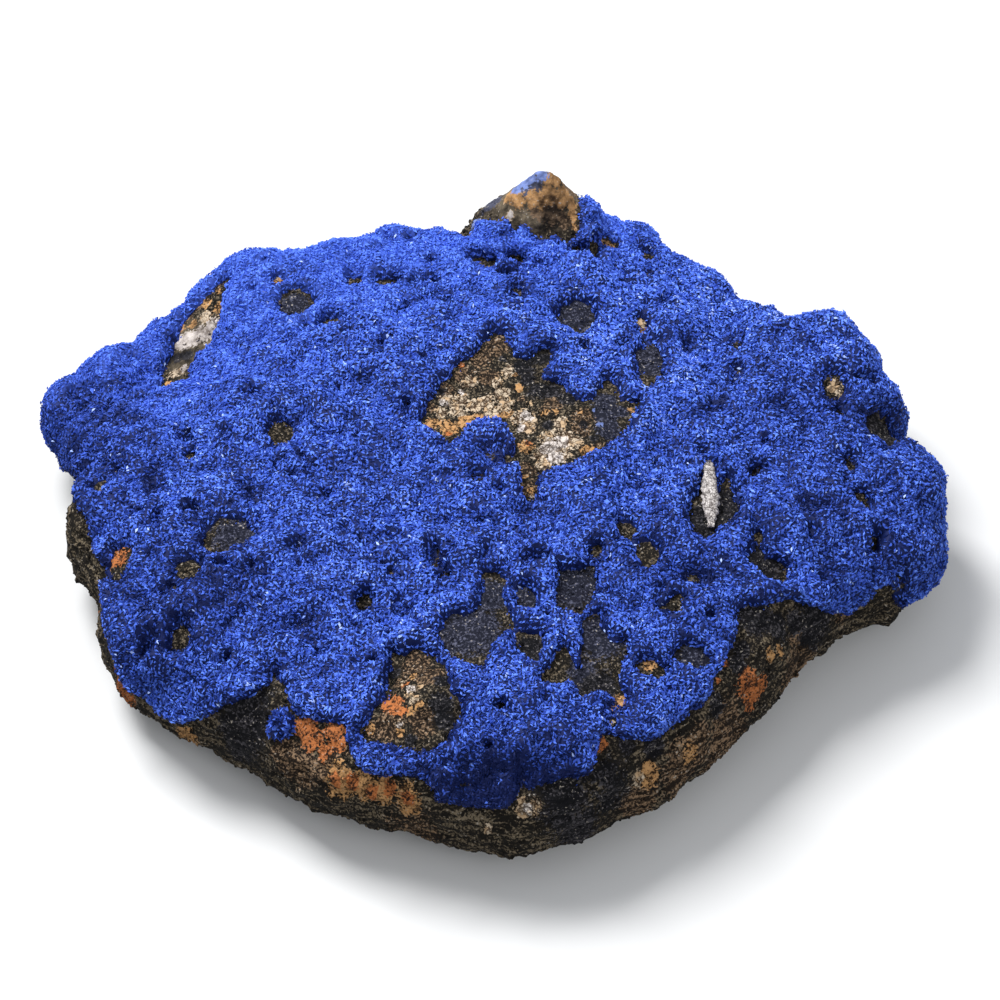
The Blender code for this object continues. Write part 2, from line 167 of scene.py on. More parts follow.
PITS = (
    (-6.2, 22.0, 0.5, 0.5), (-5.1, 18.7, 0.5, 0.6), (-23.2, 21.1, 0.4, 0.5),
    (-39.6, 12.5, 0.6, 0.6), (-33.3, 10.3, 0.8, 0.5), (-24.8, 3.0, 0.4, 0.7),
    (-28.3, 3.5, 0.5, 0.6), (-28.0, 1.3, 0.6, 0.6), (-22.5, 7.6, 0.6, 0.5), (-8.4, 6.0, 0.4, 0.5),
    (-14.0, 14.1, 0.4, 0.4), (-15.5, -4.7, 0.4, 0.6), (-5.2, 0.1, 0.7, 0.6), (22.2, 14.7, 0.6, 1.1),
    (22.0, 10.3, 0.6, 1.2), (11.8, 21.9, 0.8, 0.6), (15.3, 19.8, 0.6, 1.0), (8.7, 25.0, 0.6, 0.7),
    (3.8, 24.7, 0.6, 0.4), (0.8, 22.9, 0.9, 0.6), (1.6, 19.9, 0.6, 1.4), (11.5, 13.6, 0.5, 0.6),
    (7.8, 13.4, 0.5, 0.6), (31.0, 6.1, 0.6, 1.0), (27.3, 2.1, 0.6, 0.6), (24.1, 1.9, 0.4, 0.4),
    (13.6, 0.0, 0.4, 0.4), (23.1, -1.3, 0.6, 0.7), (31.9, 0.1, 0.7, 0.8), (32.5, -4.0, 0.9, 1.0),
    (26.5, 14.8, 0.6, 0.5), (8.6, -11.6, 0.6, 0.5), (3.1, -12.6, 1.2, 0.7), (-1.4, -0.2, 0.6, 0.5),
    (0.0, 0.5, 0.5, 0.4), (1.0, -1.0, 0.5, 0.6), (-2.1, -3.8, 0.7, 0.8), (8.2, -13.9, 0.6, 0.5),
    (0.4, -19.3, 0.8, 0.7), (15.6, -16.8, 0.7, 1.0), (9.4, -29.0, 0.7, 1.0), (27.9, -8.2, 0.5, 0.6),
    (33.5, -8.0, 0.6, 0.7), (36.4, -9.8, 0.5, 0.6), (38.7, -9.4, 0.9, 1.4), (33.9, -12.1, 1.1, 1.4),
    (30.2, -14.4, 1.1, 1.0), (25.7, -16.3, 0.8, 0.7), (-27.9, -5.6, 0.7, 0.6),
    (-31.0, -6.1, 0.5, 1.1), (-29.1, -14.7, 0.7, 0.7), (-18.2, -11.2, 0.8, 0.6),
    (-9.4, -10.1, 0.6, 0.6), (-5.8, -12.2, 0.6, 1.2), (-4.9, -14.0, 0.6, 0.5),
    (-1.3, -12.1, 0.5, 0.7), (-12.1, -16.8, 0.7, 1.0), (-8.8, -17.3, 0.6, 0.8),
    (-9.7, -14.5, 0.5, 0.6), (-30.5, -18.9, 0.7, 0.7), (-20.9, 22.3, 0.6, 0.7),
    (-6.6, 25.1, 0.6, 0.7), (-36.4, -1.3, 0.6, 1.0), (13.2, 16.2, 0.4, 1.4), (33.5, 10.6, 0.6, 0.4),
)

# Hollows where the crust runs thin and painted shade darkens it, (x, y, half width, half depth).
HOLLOWS = (
    (17.2, 14.6, 1.5, 1.2), (19.6, 5.6, 1.2, 1.1), (26.0, 6.1, 1.0, 0.9), (30.6, 8.1, 1.2, 1.5),
    (35.2, 5.6, 3.0, 3.4), (-0.3, -1.2, 2.0, 1.5), (-22.8, -4.0, 1.0, 1.3), (10.6, -26.8, 1.4, 1.5),
    (20.5, -6.1, 1.0, 1.9), (-23.0, -3.6, 0.9, 1.2), (28.5, -5.5, 1.4, 1.0), (-12.5, 8.5, 1.4, 0.9),
    (-31.5, -1.5, 1.0, 1.6), (17.5, -14.0, 1.5, 0.9), (-17.0, -18.5, 1.2, 0.8),
    (2.5, -7.5, 1.1, 0.8),
)

# Lobes and dents of the crust, (x, y, height, radius, rise).
LOBES = (
    (-4.2, -31.3, 13.8, 1.4, 0.9), (-0.9, -31.8, 13.3, 1.4, 1.0), (2.6, -31.5, 13.7, 1.4, 1.1),
    (5.6, -31.1, 14.0, 1.3, 0.9), (8.2, -30.3, 13.8, 1.2, 0.7), (-3.9, -34.2, 11.9, 1.6, -0.5),
    (-0.9, -34.6, 11.7, 1.6, -0.5), (2.6, -34.4, 12.2, 1.6, -0.5), (-38.0, 6.5, 11.5, 2.6, 0.7),
    (-37.0, 1.0, 11.5, 2.2, -0.6), (37.4, 6.8, 11.5, 2.2, -1.3), (35.6, 13.3, 14.0, 2.2, -1.0),
    (37.5, -1.5, 12.0, 2.6, 0.5), (-25.5, -20.5, 13.0, 1.8, 0.6), (-29.5, -18.5, 12.5, 1.6, 0.5),
    (-27.4, -22.0, 11.0, 1.5, -0.6), (17.0, -24.2, 13.6, 1.7, 0.6), (12.6, -27.6, 13.6, 1.7, 0.5),
    (9.1, 32.0, 15.8, 2.3, -1.2), (26.6, 18.5, 15.5, 2.0, -1.0), (-43.0, 12.5, 8.5, 2.0, -0.9),
    (31.3, 18.2, 14.0, 2.0, 0.7), (-3.8, 29.3, 14.5, 1.5, 0.8),
)

# Areas where painted shade darkens the crystals, (x, y, half width, half depth, share).
PAINTED_SHADE_AREAS = (
    (-28.5, -14.5, 9.0, 7.0, 0.45), (31.0, -5.0, 8.0, 9.0, 0.22), (0.0, -36.2, 8.5, 4.6, 1.3),
    (15.5, -13.0, 6.0, 5.0, 0.3), (26.0, 8.0, 6.0, 6.0, 0.3), (3.0, 21.0, 7.0, 3.0, 0.3),
    (-39.0, 5.0, 7.0, 11.0, 0.5), (-11.0, 0.0, 10.0, 8.0, 0.14),
)

# Narrow grooves in the crust, as plan points along each.
GROOVES = (
    ((-18.2, 1.3), (-17.5, -1.1), (-16.8, -3.3), (-15.8, -5.0)),
    ((-14.1, -8.7), (-11.6, -12.1), (-10.2, -13.1), (-8.9, -14.4)),
    ((-19.6, -22.0), (-19.8, -23.2), (-19.5, -24.6)),
    ((-21.3, -16.0), (-23.5, -17.8), (-25.2, -19.6)),
    ((-6.0, -10.2), (-5.3, -12.2), (-4.6, -13.8)),
    ((24.0, -9.0), (23.2, -11.5), (24.6, -14.0)),
    ((-3.6, -32.0), (-3.2, -34.0), (-3.4, -36.0)),
    ((-0.8, -31.6), (-0.4, -33.6), (-0.7, -36.5)),
    ((1.6, -32.2), (2.0, -34.0), (1.7, -36.5)),
    ((4.2, -31.8), (4.5, -33.4), (4.2, -35.5)),
)

Object = bpy.types.Object
Mesh = bpy.types.Mesh
Material = bpy.types.Material
Draw = np.random.Generator
Socket = bpy.types.NodeSocket
Points = np.ndarray
Values = np.ndarray
Pair = tuple[float, float]
Place = tuple[float, float, float]
Colour = tuple[float, float, float]
Stops = tuple[tuple[float, Colour], ...]


class Tint(Enum):
    """The colours that lie in patches on the host rock."""

    SLATE = "slate"
    BROWN = "brown"
    TAN = "tan"
    RUST = "rust"
    CREAM = "cream"
    PALE = "pale"
    DARK = "dark"
    FILM_AND_SHEEN = "film_and_sheen"


# Where each tint lies, (x, y, height, radius), and how distances from there are weighed.
PATCH_SQUASH = (1.0, 1.0, 0.6)
PATCHES = {
    Tint.SLATE: (
        (9.6, 6.2, 16.7, 1.1), (9.7, 4.6, 16.7, 1.5), (9.8, 2.6, 16.6, 1.3), (11.1, 4.8, 16.5, 0.8),
        (2.8, 30.2, 20.2, 1.5), (-0.6, 31.8, 16.0, 1.4), (3.0, 29.6, 19.4, 0.8),
        (-2.7, -20.0, 15.4, 3.2), (-0.8, -16.4, 15.6, 2.0), (6.6, -15.0, 15.3, 2.6),
        (7.0, 18.0, 15.3, 2.2), (13.9, 11.8, 15.5, 2.2), (-19.2, 19.0, 15.4, 1.8),
        (-23.8, -8.8, 15.2, 2.4), (9.0, -20.5, 14.8, 2.6), (7.4, -24.4, 14.8, 1.6),
        (2.6, -16.7, 15.7, 1.4), (17.2, -21.9, 14.1, 1.6),
    ),
    Tint.BROWN: (
        (-0.2, 13.0, 16.4, 1.2), (-1.8, 11.6, 16.2, 1.1), (-3.4, 9.8, 16.0, 0.9),
        (-4.8, 8.0, 15.9, 0.8), (-6.2, 5.8, 15.9, 0.7), (-1.0, 9.4, 16.1, 1.0),
        (7.6, 4.2, 16.5, 1.1), (7.4, 2.8, 16.6, 1.0), (9.1, 0.7, 16.3, 0.5), (4.3, 4.9, 16.5, 0.8),
        (2.5, -2.2, 16.5, 0.8), (2.6, -4.2, 16.4, 0.9), (4.8, 6.0, 16.4, 1.1),
        (2.0, 6.9, 15.8, 0.5), (-26.9, 23.8, 13.2, 1.2), (-28.2, 22.6, 12.0, 1.1),
        (-29.3, 21.4, 11.2, 0.6), (-27.4, 20.5, 12.8, 0.4), (-31.6, 16.0, 10.0, 0.4),
        (-7.3, -23.2, 15.0, 1.5), (-6.2, -25.2, 15.8, 1.4), (-6.6, -29.6, 14.8, 1.4),
        (-9.6, -29.4, 14.2, 1.4), (-10.9, -29.6, 13.7, 0.9), (-8.8, -25.1, 14.8, 0.7),
        (5.0, 28.3, 17.9, 1.2), (6.2, 28.1, 17.2, 0.8), (6.6, 31.4, 18.4, 0.9),
        (-2.6, 28.9, 14.6, 0.5), (-36.8, 1.2, 12.3, 0.9), (-8.0, -36.0, 5.0, 3.0),
        (20.0, -25.0, 5.0, 3.0), (27.0, -17.0, 6.0, 3.0), (-18.4, -29.9, 9.8, 1.5),
        (-17.1, -30.8, 9.8, 1.5), (-15.5, -31.3, 10.6, 1.2), (-14.4, -31.4, 11.6, 0.8),
        (-13.1, -30.5, 12.7, 0.8), (-19.3, -29.1, 10.2, 1.0), (19.9, -24.7, 8.8, 2.0),
        (17.6, -27.9, 9.3, 1.8), (15.9, -29.4, 7.7, 2.2), (12.3, -32.0, 6.8, 2.0),
        (27.0, -15.7, 8.8, 1.8), (31.2, -12.0, 8.5, 1.2), (4.3, 28.4, 18.2, 0.9),
        (5.7, 28.3, 17.6, 0.8), (3.3, 28.5, 18.4, 0.6), (4.9, 27.9, 17.4, 0.6),
    ),
    Tint.TAN: (
        (-1.2, 4.8, 15.8, 0.9), (-3.0, 4.2, 15.9, 0.9), (-4.6, 3.3, 15.9, 1.0),
        (-6.2, 4.0, 15.9, 0.8), (0.5, 5.3, 15.7, 0.7), (2.4, 0.6, 16.4, 0.8), (7.9, 0.2, 16.3, 0.7),
        (1.8, 8.3, 15.9, 0.5), (1.3, 9.9, 16.0, 0.4), (4.1, 4.7, 16.4, 0.35),
        (5.1, 4.7, 16.7, 0.35), (7.4, 4.7, 16.5, 0.3), (12.1, 5.1, 16.3, 0.5),
        (2.2, -2.9, 16.5, 0.35), (2.8, -4.5, 16.4, 0.35), (-26.5, 22.3, 13.7, 0.35),
        (-27.8, 21.7, 12.8, 0.6), (-26.6, 20.7, 13.4, 0.6), (-29.6, 22.1, 10.7, 0.5),
        (-30.3, 20.2, 11.0, 0.7), (-29.0, 20.1, 11.7, 0.5), (-31.1, 13.7, 10.3, 0.4),
        (5.2, 30.6, 20.4, 0.8), (4.0, 29.1, 19.0, 0.9), (5.7, 29.3, 18.8, 0.8),
        (6.9, 28.8, 17.6, 0.6), (7.0, 27.8, 16.9, 0.4), (1.1, 29.9, 18.7, 0.7),
        (-7.0, -28.3, 15.8, 0.4), (-7.9, -28.6, 15.3, 0.5), (-11.3, -29.4, 13.7, 0.5),
        (-8.7, -30.1, 14.2, 0.4), (-7.5, -24.8, 15.2, 0.4), (-6.7, 25.3, 13.5, 0.9),
        (-21.1, 22.5, 14.7, 0.9), (13.3, 16.2, 15.1, 0.6), (13.2, -22.8, 14.2, 0.6),
        (10.5, -27.1, 14.0, 1.3), (10.4, 28.0, 14.8, 0.8), (13.9, 27.3, 14.2, 0.7),
        (24.0, -19.6, 11.7, 0.6), (24.9, -18.7, 11.3, 0.6), (-13.5, -32.8, 10.0, 1.2),
        (-11.8, -33.0, 10.4, 1.2), (-10.0, -33.5, 10.2, 1.2), (-8.2, -34.3, 10.6, 1.1),
        (0.7, 30.3, 18.3, 0.6), (1.7, 29.3, 18.8, 0.7), (3.1, 29.2, 19.1, 0.8),
        (4.6, 29.4, 19.5, 0.9), (6.0, 30.0, 19.3, 0.8), (6.7, 29.7, 18.1, 0.7),
        (4.6, 30.2, 20.6, 0.6), (16.4, -28.2, 8.8, 1.0), (13.0, -31.0, 9.0, 1.0),
        (33.6, 12.8, 14.4, 0.8), (-14.0, -31.8, 9.6, 1.3), (-8.0, -34.6, 9.6, 1.2),
        (-27.9, -23.6, 5.0, 1.0),
    ),
    Tint.RUST: (
        (-9.3, -27.4, 14.8, 1.0), (-8.4, -28.5, 15.0, 0.5), (-8.3, -25.6, 15.1, 0.4),
        (-16.9, -28.0, 12.4, 1.1), (-16.4, -29.2, 11.8, 1.1), (-14.4, -28.8, 13.1, 1.1),
        (-13.4, -28.4, 13.3, 0.8), (-15.3, -30.4, 11.6, 0.8), (-14.1, -30.3, 12.5, 0.7),
        (-14.3, -32.2, 10.0, 0.6), (-12.8, -32.8, 10.5, 0.7), (-11.2, -33.3, 9.8, 0.6),
        (-9.6, -33.6, 10.7, 0.7), (-8.0, -34.4, 10.2, 0.7), (21.9, -22.3, 10.7, 1.3),
        (22.4, -22.2, 9.3, 1.1), (23.1, -21.4, 9.6, 0.9), (22.2, -22.5, 8.3, 0.7),
        (20.0, -21.7, 13.1, 0.35), (19.2, -23.5, 12.9, 0.35), (-34.2, -18.8, 5.5, 1.6),
        (-36.6, -12.0, 6.0, 1.4), (-34.3, -9.2, 12.5, 1.0), (8.7, -30.9, 13.3, 0.7),
        (-9.1, -28.3, 14.9, 0.5), (-24.0, 26.8, 6.0, 2.6), (22.0, 24.0, 5.0, 2.4),
        (38.5, 6.0, 3.0, 1.8), (33.6, 12.4, 14.5, 0.6), (-4.7, 2.6, 16.0, 0.5),
        (2.6, 1.0, 16.4, 0.4), (-3.5, 10.9, 16.1, 0.3),
    ),
    Tint.CREAM: (
        (-2.9, 8.9, 15.8, 0.8), (-4.9, 7.1, 15.8, 0.8), (-3.7, 7.1, 15.5, 0.9),
        (-2.4, 6.4, 15.6, 0.8), (-1.2, 6.6, 15.7, 0.9), (0.2, 7.6, 15.9, 0.9),
        (0.5, 6.3, 15.7, 0.9), (0.8, 10.2, 16.2, 0.7), (-0.2, 8.8, 16.0, 0.6),
        (-5.4, 5.4, 15.7, 0.7), (-3.9, 5.7, 15.5, 0.8), (-1.0, 5.7, 15.7, 0.6),
        (2.3, 4.4, 16.0, 1.2), (2.6, 3.2, 16.2, 0.8), (5.5, 3.4, 16.6, 0.7), (4.6, 1.5, 16.4, 1.1),
        (5.9, 1.5, 16.5, 1.1), (6.9, 1.2, 16.4, 0.8), (4.1, -0.3, 16.3, 1.1),
        (5.4, -0.2, 16.4, 1.0), (3.9, -1.4, 16.4, 0.7), (2.8, 6.1, 16.0, 0.35),
        (3.0, 9.1, 16.0, 0.3), (-27.9, 20.3, 12.4, 0.6), (-27.0, 19.3, 12.7, 0.8),
        (-30.8, 18.8, 10.6, 0.8), (-29.7, 18.6, 11.0, 1.0), (-28.5, 18.6, 11.5, 1.0),
        (-27.4, 18.6, 12.2, 0.8), (-29.8, 15.1, 10.7, 0.7), (-30.7, 14.9, 10.4, 0.6),
        (-32.1, 14.5, 9.9, 0.3), (-7.7, -26.5, 15.5, 0.6), (-7.0, -26.4, 15.7, 0.4),
        (-8.7, -29.5, 14.4, 0.35), (-7.3, -27.6, 15.8, 0.4), (-8.5, -25.3, 14.9, 0.35),
        (-7.7, -28.0, 15.6, 0.35), (-8.2, -27.0, 15.2, 0.3), (2.0, -35.9, 10.9, 0.7),
        (3.1, -35.8, 11.1, 0.7), (-1.0, -36.3, 8.4, 0.5), (9.4, -28.9, 14.1, 0.6),
        (13.2, 17.0, 15.1, 0.6), (-21.0, 23.3, 14.7, 0.6), (0.9, 28.6, 17.6, 0.5),
        (31.0, 9.4, 14.9, 0.8), (12.2, -31.9, 9.6, 0.7),
    ),
    Tint.PALE: (
        (-27.1, 19.2, 12.7, 0.7), (-30.7, 18.6, 10.6, 0.9), (-29.6, 18.5, 11.0, 1.1),
        (-28.4, 18.5, 11.5, 1.1), (-27.4, 18.6, 12.2, 0.8), (-26.8, 19.3, 12.8, 0.6),
        (-29.6, 15.2, 10.8, 0.6), (-32.1, 14.5, 9.9, 0.3), (2.5, 4.6, 16.1, 0.7),
        (1.9, 3.3, 16.1, 0.5), (4.5, 0.6, 16.4, 0.9), (5.6, 1.4, 16.5, 0.8), (5.0, -0.6, 16.4, 0.8),
        (-3.6, 8.0, 15.7, 0.4), (-7.8, -26.4, 15.4, 0.5), (-8.7, -29.5, 14.4, 0.3),
        (0.9, 28.6, 17.6, 0.4), (-5.2, 6.6, 15.7, 0.4), (2.4, -35.9, 10.9, 0.4),
    ),
    # Dark rock, and painted shade in shaded hollows, pit floors and walls.
    Tint.DARK: (
        (2.2, 10.6, 15.9, 1.0), (2.5, 9.2, 15.9, 0.8), (3.4, 7.7, 15.9, 1.1), (4.8, 7.8, 15.9, 1.1),
        (6.2, 6.6, 16.3, 1.0), (4.0, 11.8, 16.1, 1.0), (2.9, 12.0, 16.1, 0.9),
        (4.3, 3.3, 16.4, 0.6), (0.3, 11.6, 16.4, 0.4), (-5.4, 7.8, 16.0, 0.5),
        (7.6, 3.2, 16.6, 0.5), (8.6, 1.5, 16.4, 0.5), (-31.4, 17.0, 10.2, 0.7),
        (-30.4, 16.9, 10.4, 0.7), (-29.4, 16.8, 10.8, 0.7), (-5.0, -28.2, 15.8, 1.1),
        (-4.8, -29.5, 15.0, 1.1), (-5.0, -26.0, 16.1, 0.8), (-9.3, -23.8, 14.3, 0.7),
        (-7.8, -31.0, 14.1, 0.6), (-22.4, -25.6, 11.0, 2.9), (-22.8, -26.6, 8.4, 2.2),
        (5.4, -34.6, 10.0, 2.6), (9.0, -32.4, 9.8, 2.2), (6.5, -34.6, 7.0, 2.4),
        (22.0, -16.5, 13.0, 2.2), (28.5, -14.6, 10.0, 2.4), (35.3, 6.0, 13.5, 2.6),
        (23.5, -11.8, 14.8, 2.0), (2.8, -22.1, 15.4, 1.6), (8.8, -25.4, 14.8, 1.8),
        (18.6, -7.2, 15.4, 2.4), (20.4, -4.8, 15.2, 2.2), (22.8, -17.8, 13.7, 1.2),
        (24.6, -17.3, 12.4, 1.3), (26.3, -15.6, 11.2, 1.0), (21.5, -20.2, 13.2, 0.8),
        (20.9, -21.5, 12.6, 0.9), (19.0, -25.1, 11.3, 1.0), (10.9, -30.4, 12.3, 1.0),
        (13.3, -29.5, 11.6, 1.1),
    ),
    # A bluish film with a painted light-blue sheen, mostly on the peak's dome.
    Tint.FILM_AND_SHEEN: (
        (2.6, 30.9, 20.3, 0.9), (3.9, 30.7, 21.2, 0.7), (1.6, 30.6, 19.4, 0.6),
        (-2.3, 30.0, 15.0, 0.6), (9.1, 3.2, 16.6, 0.4), (8.6, 5.0, 16.7, 0.3),
    ),
}


# The relief's finer layers: how fast they fade, how much narrower each is, how many.
LAYERS = (1.0, 2.0, 3)
# Where each relief's start lies in the endless pattern.
START = np.array((1.0, -1.0, 2.0))
# The far left: how the line that bounds it leans, and where it begins and is reached.
FAR_LEFT_LEAN = 0.5
FAR_LEFT = (8.0, 32.0)


def smooth_step(values: Values, low: float, high: float) -> Values:
    """0 below low, 1 above high, and an even ramp between them."""
    share = np.clip((values - low) / (high - low), 0.0, 1.0)
    return share * share * (3.0 - 2.0 * share)


def unit(vectors: Points) -> Points:
    """The same directions, each of length 1."""
    return vectors / np.linalg.norm(vectors, axis=1)[:, None]


def directions(draw: Draw, count: int) -> Points:
    """Random directions, one a row."""
    return unit(draw.normal(size=(count, 3)))


@dataclass(frozen=True)
class Relief:
    """Fractal relief.

    Attributes:
        size: how wide its forms are.
        height: how far they rise and sink.
        start: where in the endless pattern the relief begins.
    """

    size: float
    height: float
    start: float

    def at(self, points: Points) -> Values:
        """Height of the relief.

        Args:
            points: places, one a row.

        Returns:
            One height for each point.
        """
        places = ((points + self.start * START) / self.size).tolist()
        found = [noise.fractal(p, *LAYERS, noise_basis="PERLIN_ORIGINAL") for p in places]
        return self.height * np.array(found)


@dataclass(frozen=True)
class ClosedCurve:
    """A smooth closed curve round the middle: a value for each angle."""

    angles: Values
    values: Values

    @classmethod
    def through(cls, pairs: list[Pair]) -> "ClosedCurve":
        """The curve through (angle, value) pairs."""
        ordered = sorted(pairs)
        return cls(*(np.array(column) for column in zip(*ordered)))

    def at(self, angles: Values) -> Values:
        """Value of the curve at each angle.

        Args:
            angles: angles about the middle, in radians.

        Returns:
            One value for each angle.
        """
        count = len(self.angles)
        after = np.searchsorted(self.angles, angles, side="right") % count
        v0, v1, v2, v3 = (self.values[(after + step) % count] for step in (-2, -1, 0, 1))
        before = self.angles[(after - 1) % count]
        span = (self.angles[after] - before) % math.tau
        t = ((angles - before) % math.tau) / span
        cubic = 3 * (v1 - v2) + v3 - v0
        return v1 + 0.5 * t * (v2 - v0 + t * (2 * v0 - 5 * v1 + 4 * v2 - v3 + t * cubic))


def far_left(points: Points) -> Values:
    """How near the far left side each point lies, where the crust is most even, from 0 to 1."""
    return smooth_step(points[:, 1] - FAR_LEFT_LEAN * points[:, 0], *FAR_LEFT)


def outside_outline(x: Values, y: Values, outline: tuple) -> Values:
    """Distance from plan points to an outline, negative inside it.

    Args:
        x: the points' first coordinates.
        y: their second coordinates.
        outline: the outline's corners, in order.

    Returns:
        One distance for each point.
    """
    nearest = np.full(len(x), np.inf)
    inside = np.zeros(len(x), bool)
    for (ax, ay), (bx, by) in zip(outline, outline[1:] + outline[:1]):
        dx, dy = bx - ax, by - ay
        along = np.clip(((x - ax) * dx + (y - ay) * dy) / (dx * dx + dy * dy), 0.0, 1.0)
        nearest = np.minimum(nearest, np.hypot(x - ax - along * dx, y - ay - along * dy))
        if dy:
            inside ^= ((ay > y) != (by > y)) & (x < ax + dx * (y - ay) / dy)
    return np.where(inside, -nearest, nearest)


def outside_oval(x: Values, y: Values, oval: tuple) -> Values:
    """Distance from plan points to an oval, negative inside it.

    Args:
        x: the points' first coordinates.
        y: their second coordinates.
        oval: its middle, half width and half depth.

    Returns:
        One distance for each point.
    """
    cx, cy, half_width, half_depth = oval
    reach = np.hypot((x - cx) / half_width, (y - cy) / half_depth)
    return (reach - 1.0) * min(half_width, half_depth)


def inside_oval(x: Values, y: Values, oval: tuple) -> Values:
    """1 in the middle of an oval, fading to about a third at its edge and to 0 outside it."""
    reach = outside_oval(x, y, oval) / min(oval[2:]) + 1.0
    return np.exp(-(reach**2))


@dataclass(frozen=True)
class CrustField:
    """Where the crust grows on the rock, and how thick.

    Attributes:
        thickness: usual thickness, down to the rock.
        thinnest: least thickness away from gaps, dents and edges.
        least: least thickness in a dent.
        tuck: how far the outer side passes under bare rock.
        lip: how wide the rounding at an edge is.
        pit_lip: the same round a small pit.
        grain: height of the crystals that stand on the crust.
        specks: how many tiny pits are strewn over it.
        closing: how far the crystals close in on a pit.
        pit_fill: the usual share of full growth on the floor of a small pit.
        hollow_depth: how much thinner it is in a shaded hollow.
        groove_depth: the same in a groove.
        groove_width: how wide a groove is.
        crease_depth: how deep the creases between its lobes are.
        crease_width: how wide they are, as a share of the folds' height.
        far_painted_light: how much painted light lightens the far side, taken off its painted
            shade.
        far_side: the depths from which it begins and is reached.
        lumps: its broad relief.
        wander: how its edges wander.
        fray: how its edges fray.
        pit_fray: the share of that which a pit's edge has.
        nodules: its middle-sized relief.
        crumbs: its fine relief.
        folds: the pattern whose middle values are the creases.
        breaks: the pattern that breaks off creases and grooves.
        break_steps: the values between which they fade in.
        unbroken: the share of a groove's depth that stays where it is broken off.
        fills: how the fill of small pits varies.
        most_fill: the most that one is filled.
        speck_seed: the seed of the tiny pits.
        speck_corners: the two corners of the field that they are strewn over.
        speck_radii: the least and the greatest size of one.
        speck_stretch: how far its width and depth may differ from that.
        shade: how much painted shade an even place has.
        shade_small: how much less painted shade it has for each millimetre that it stands out.
        shade_low: how much more it has for each millimetre that it lies low.
        shade_thin: how much more it has where the crust runs out.
        most_shade: the most painted shade that a place has.
    """

    thickness: float = 1.35
    thinnest: float = 0.8
    least: float = 0.4
    tuck: float = -0.7
    lip: float = 0.75
    pit_lip: float = 0.4
    grain: float = 0.2
    specks: int = 130
    closing: float = 0.1
    pit_fill: float = 0.4
    hollow_depth: float = 0.95
    groove_depth: float = 0.6
    groove_width: float = 0.4
    crease_depth: float = 0.45
    crease_width: float = 0.07
    far_painted_light: float = 0.15
    far_side: Pair = (-5.0, 25.0)
    lumps: Relief = Relief(4.2, 0.85, 7.0)
    wander: Relief = Relief(3.0, 0.3, 31.0)
    fray: Relief = Relief(0.9, 0.35, 12.0)
    pit_fray: float = 0.9
    nodules: Relief = Relief(1.7, 0.26, 19.0)
    crumbs: Relief = Relief(0.7, 0.12, 23.0)
    folds: Relief = Relief(5.5, 1.0, 71.0)
    breaks: Relief = Relief(2.2, 1.0, 83.0)
    break_steps: Pair = (-0.15, 0.25)
    unbroken: float = 0.35
    fills: Relief = Relief(3.0, 0.6, 91.0)
    most_fill: float = 0.75
    speck_seed: int = 5
    speck_corners: tuple = ((-41.0, -35.0), (40.0, 33.0))
    speck_radii: Pair = (0.12, 0.32)
    speck_stretch: Pair = (0.7, 1.3)
    shade: float = 0.30
    shade_small: float = 1.3
    shade_low: float = 0.9
    shade_thin: float = 0.4
    most_shade: float = 1.3

    def tiny_pits(self) -> np.ndarray:
        """The tiny pits, strewn over the upper side.

        Returns:
            An oval a row.
        """
        draw = np.random.default_rng(self.speck_seed)
        spread = draw.uniform(*self.speck_corners, (self.specks, 2))
        radii = draw.uniform(*self.speck_radii, (self.specks, 1))
        radii = radii * draw.uniform(*self.speck_stretch, (self.specks, 2))
        return np.hstack((spread, radii))

    def rim_cover(self, points: Points) -> Values:
        """How far inside the crust's outer edge each point lies.

        Args:
            points: places on the rock.

        Returns:
            One distance for each point, negative outside.
        """
        x, y, z = points.T
        angle = np.arctan2(y, x)
        reach = np.hypot(x, y)
        belt = ClosedCurve.through([(math.atan2(b, a), math.hypot(a, b)) for a, b in BELT_PLAN])
        edge = ClosedCurve.through(
            [(math.atan2(b, a), c - EDGE_LEAN * math.hypot(a, b)) for a, b, c in CRUST_EDGE]
        )
        reach = np.where(z < BELT_HEIGHT, np.maximum(reach, belt.at(angle)), reach)
        return z - EDGE_LEAN * reach - edge.at(angle)

    def shares(self, points: Points) -> Values:
        """How much of its full growth the crust has.

        Args:
            points: places on the rock.

        Returns:
            A share from 0 to 1 for each point.
        """
        x, y, z = points.T
        upper = z > BELT_HEIGHT
        gaps = np.full(len(points), np.inf)
        for outline in WINDOWS.values():
            gaps = np.minimum(gaps, outside_outline(x, y, outline))
        for oval in GAPS:
            gaps = np.minimum(gaps, outside_oval(x, y, oval))
        pits = np.full(len(points), np.inf)
        for oval in (*PITS, *self.tiny_pits().tolist()):
            pits = np.minimum(pits, outside_oval(x, y, oval) + self.closing)
        cover = np.where(upper, np.minimum(self.rim_cover(points), gaps), self.rim_cover(points))
        fray = self.fray.at(points)
        cover += self.wander.at(points) + fray
        pits = np.where(upper, pits + self.pit_fray * fray, np.inf)
        share = smooth_step(cover, -self.lip / 2, self.lip)
        filled = np.clip(self.pit_fill + self.fills.at(points), 0.0, self.most_fill)
        floors = np.maximum(smooth_step(pits, -self.pit_lip / 3, self.pit_lip), filled)
        return np.minimum(share, floors)

